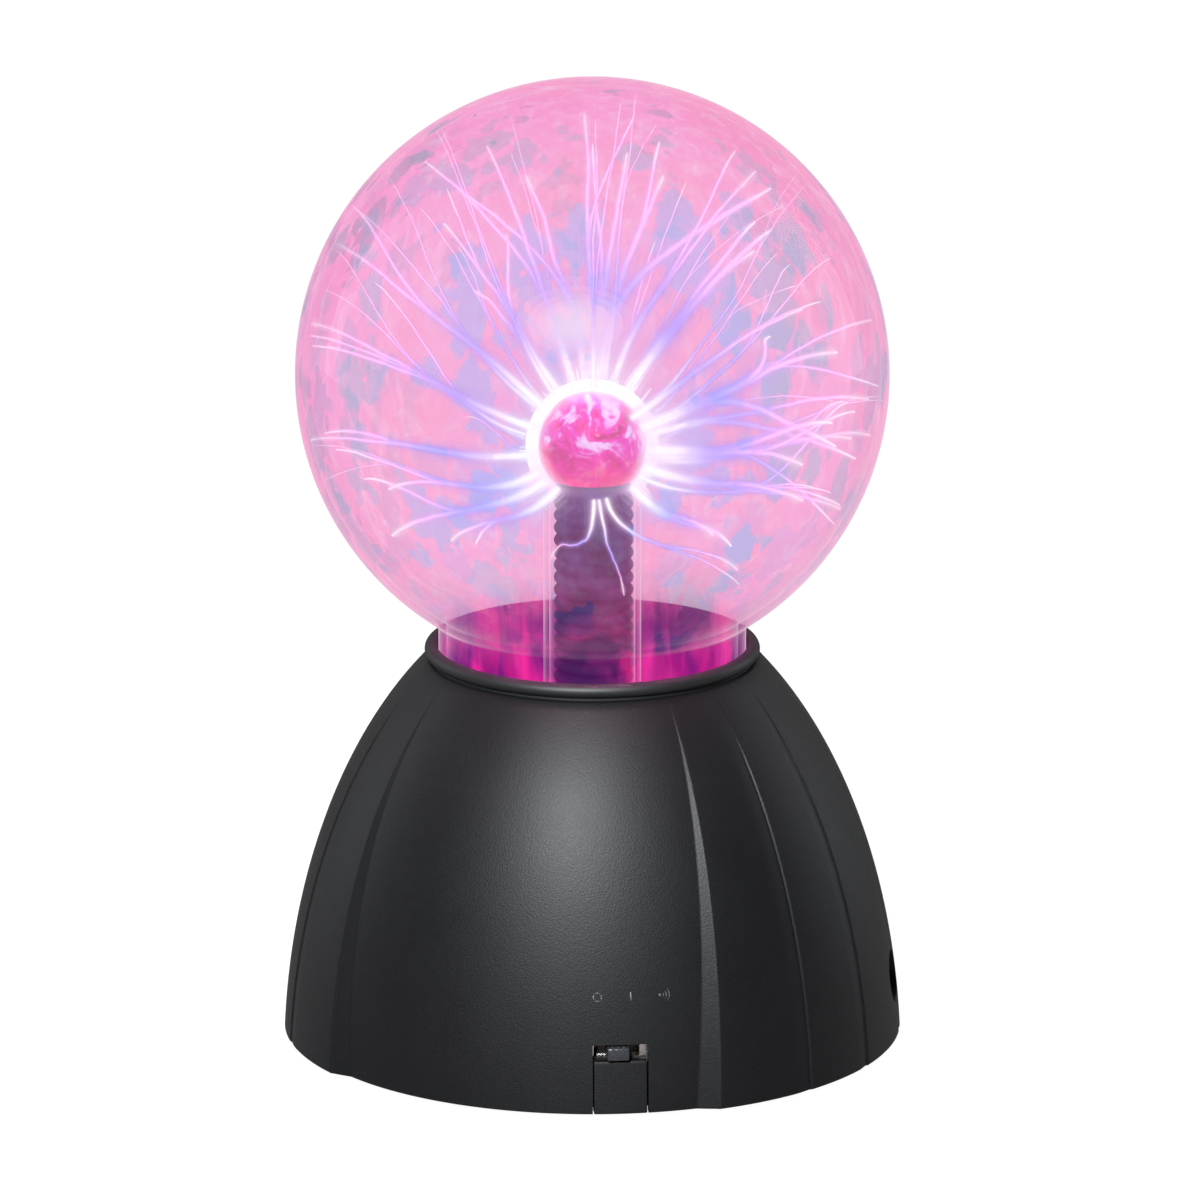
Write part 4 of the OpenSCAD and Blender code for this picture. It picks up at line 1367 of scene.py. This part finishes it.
class PLASMA_OT_stage(bpy.types.Operator):
    """Set up the camera, the lights and the pale floor"""

    bl_idname = "plasma.stage"
    bl_label = "Stage"

    # Soft lights: name, turn and lift of their place, distance, width, height, power in watts
    LIGHTS = [
        ("key_light", -15.5, 34, 0.9, 0.12, 0.16, 24.0),
        ("left_light", -120, 15, 1.0, 0.3, 0.8, 2.2),
        ("right_light", 112, 15, 1.0, 0.3, 0.8, 2.2),
    ]

    def camera(self, stage):
        data = bpy.data.cameras.new("camera")
        camera = bpy.data.objects.new("camera", data)
        bpy.context.scene.collection.objects.link(camera)
        away = Vector((math.sin(stage.azimuth) * math.cos(stage.elevation),
                       -math.cos(stage.azimuth) * math.cos(stage.elevation),
                       math.sin(stage.elevation)))
        target = Vector((0, 0, stage.aim))
        camera.location = target + away * stage.distance
        camera.rotation_euler = away.to_track_quat("Z", "Y").to_euler()
        data.lens = data.sensor_width * stage.distance / stage.view_width
        data.shift_x = -0.0015
        data.clip_end = 50
        bpy.context.scene.camera = camera

    def lamp(self, name, turn, lift, distance, width, height, power):
        data = bpy.data.lights.new(name, "AREA")
        data.shape = "RECTANGLE"
        data.size, data.size_y = width, height
        data.energy = power
        data.color = (0.93, 0.97, 1.0)
        lamp = bpy.data.objects.new(name, data)
        bpy.context.scene.collection.objects.link(lamp)
        turn, lift = math.radians(turn), math.radians(lift)
        away = Vector((math.sin(turn) * math.cos(lift), -math.cos(turn) * math.cos(lift),
                       math.sin(lift)))
        lamp.location = Vector((0, 0, 0.06)) + away * distance
        lamp.rotation_euler = away.to_track_quat("Z", "Y").to_euler()

    def discharge_light(self):
        """The rosy light that the discharge throws on the collar and the shoulder."""
        data = bpy.data.lights.new("discharge_light", "POINT")
        data.shadow_soft_size = 0.025
        data.energy = 2.2
        data.color = (1.0, 0.25, 0.6)
        lamp = bpy.data.objects.new("discharge_light", data)
        bpy.context.scene.collection.objects.link(lamp)
        lamp.location = globe_centre()

    def floor(self, stage):
        g = Graph("floor_paper")
        tone = g.noise(6.0, 2.0)
        shade = tuple(c * 0.985 for c in stage.floor)
        dim, bright = (0.10, 0.10, 0.10), (0.98, 0.98, 0.98)
        seen = g.node("ShaderNodeLightPath", output="Is Camera Ray")
        paper = g.finish(g.principled({
            "Base Color": g.mix(tone, shade, stage.floor), "Roughness": 0.9,
            "Specular IOR Level": 0.1, "Emission Color": g.mix(seen, dim, bright),
            "Emission Strength": 1.0}))
        bm = bmesh.new()
        bmesh.ops.create_grid(bm, x_segments=8, y_segments=8, size=6.0)
        mesh = bpy.data.meshes.new("floor")
        bm.to_mesh(mesh)
        bm.free()
        mesh.materials.append(paper)
        plane = bpy.data.objects.new("floor", mesh)
        bpy.context.scene.collection.objects.link(plane)

    def world(self):
        """White as a backdrop, and as light dim in front and bright behind."""
        world = bpy.data.worlds.new("studio")
        bpy.context.scene.world = world
        world.use_nodes = True
        tree = world.node_tree
        back = tree.nodes["Background"]
        back.inputs["Color"].default_value = (1.0, 1.0, 1.0, 1.0)
        path = tree.nodes.new("ShaderNodeLightPath")
        coord = tree.nodes.new("ShaderNodeTexCoord")
        parts = tree.nodes.new("ShaderNodeSeparateXYZ")
        shade = tree.nodes.new("ShaderNodeMapRange")
        shade.interpolation_type = "SMOOTHSTEP"
        for key, value in (("From Min", 0.1), ("From Max", 0.95), ("To Min", 0.02), ("To Max", 0.40)):
            shade.inputs[key].default_value = value
        choose = tree.nodes.new("ShaderNodeMix")
        choose.inputs["B"].default_value = 1.0
        tree.links.new(coord.outputs["Generated"], parts.inputs[0])
        tree.links.new(parts.outputs["Y"], shade.inputs["Value"])
        tree.links.new(shade.outputs[0], choose.inputs["A"])
        tree.links.new(path.outputs["Is Camera Ray"], choose.inputs["Factor"])
        tree.links.new(choose.outputs["Result"], back.inputs["Strength"])

    def execute(self, context):
        stage = settings().stage
        self.camera(stage)
        for light in self.LIGHTS:
            self.lamp(*light)
        self.discharge_light()
        self.floor(stage)
        self.world()
        context.scene.view_settings.view_transform = "Standard"
        context.scene.cycles.transparent_max_bounces = 160
        context.scene.cycles.max_bounces = 10
        return {"FINISHED"}


# ---------------------------------------------------------------- add-on


class PlasmaBallSettings(bpy.types.PropertyGroup):
    """All the settings of a plasma ball."""

    globe: PointerProperty(type=GlobeSettings)
    base: PointerProperty(type=BaseSettings)
    glow: PointerProperty(type=GlowSettings)
    stage: PointerProperty(type=StageSettings)


OPERATORS = (
    PLASMA_OT_stage,
    PLASMA_OT_base_shell,
    PLASMA_OT_collar,
    PLASMA_OT_cover,
    PLASMA_OT_switch,
    PLASMA_OT_jack,
    PLASMA_OT_globe,
    PLASMA_OT_stem,
    PLASMA_OT_electrode,
    PLASMA_OT_glow,
    PLASMA_OT_arcs,
    PLASMA_OT_inner_parts,
)


class PLASMA_PT_panel(bpy.types.Panel):
    """Lists the pieces and their settings."""

    bl_idname = "PLASMA_PT_panel"
    bl_label = "Plasma Ball"
    bl_space_type = "VIEW_3D"
    bl_region_type = "UI"
    bl_category = "Plasma Ball"

    def draw(self, context):
        layout = self.layout
        ball = context.scene.plasma_ball
        for group in (ball.globe, ball.base, ball.glow, ball.stage):
            box = layout.box()
            for name in group.__annotations__:
                box.prop(group, name)
        for operator in OPERATORS:
            layout.operator(operator.bl_idname)


CLASSES = (GlobeSettings, BaseSettings, GlowSettings, StageSettings, PlasmaBallSettings,
           *OPERATORS, PLASMA_PT_panel)


def register():
    for cls in CLASSES:
        bpy.utils.register_class(cls)
    bpy.types.Scene.plasma_ball = PointerProperty(type=PlasmaBallSettings)


def unregister():
    del bpy.types.Scene.plasma_ball
    for cls in reversed(CLASSES):
        bpy.utils.unregister_class(cls)


def write_size():
    """Updates the view layer."""
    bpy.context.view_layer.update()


def main():
    register()
    for operator in OPERATORS:
        group, name = operator.bl_idname.split(".")
        getattr(getattr(bpy.ops, group), name)()
    write_size()


if __name__ == "__main__":
    main()
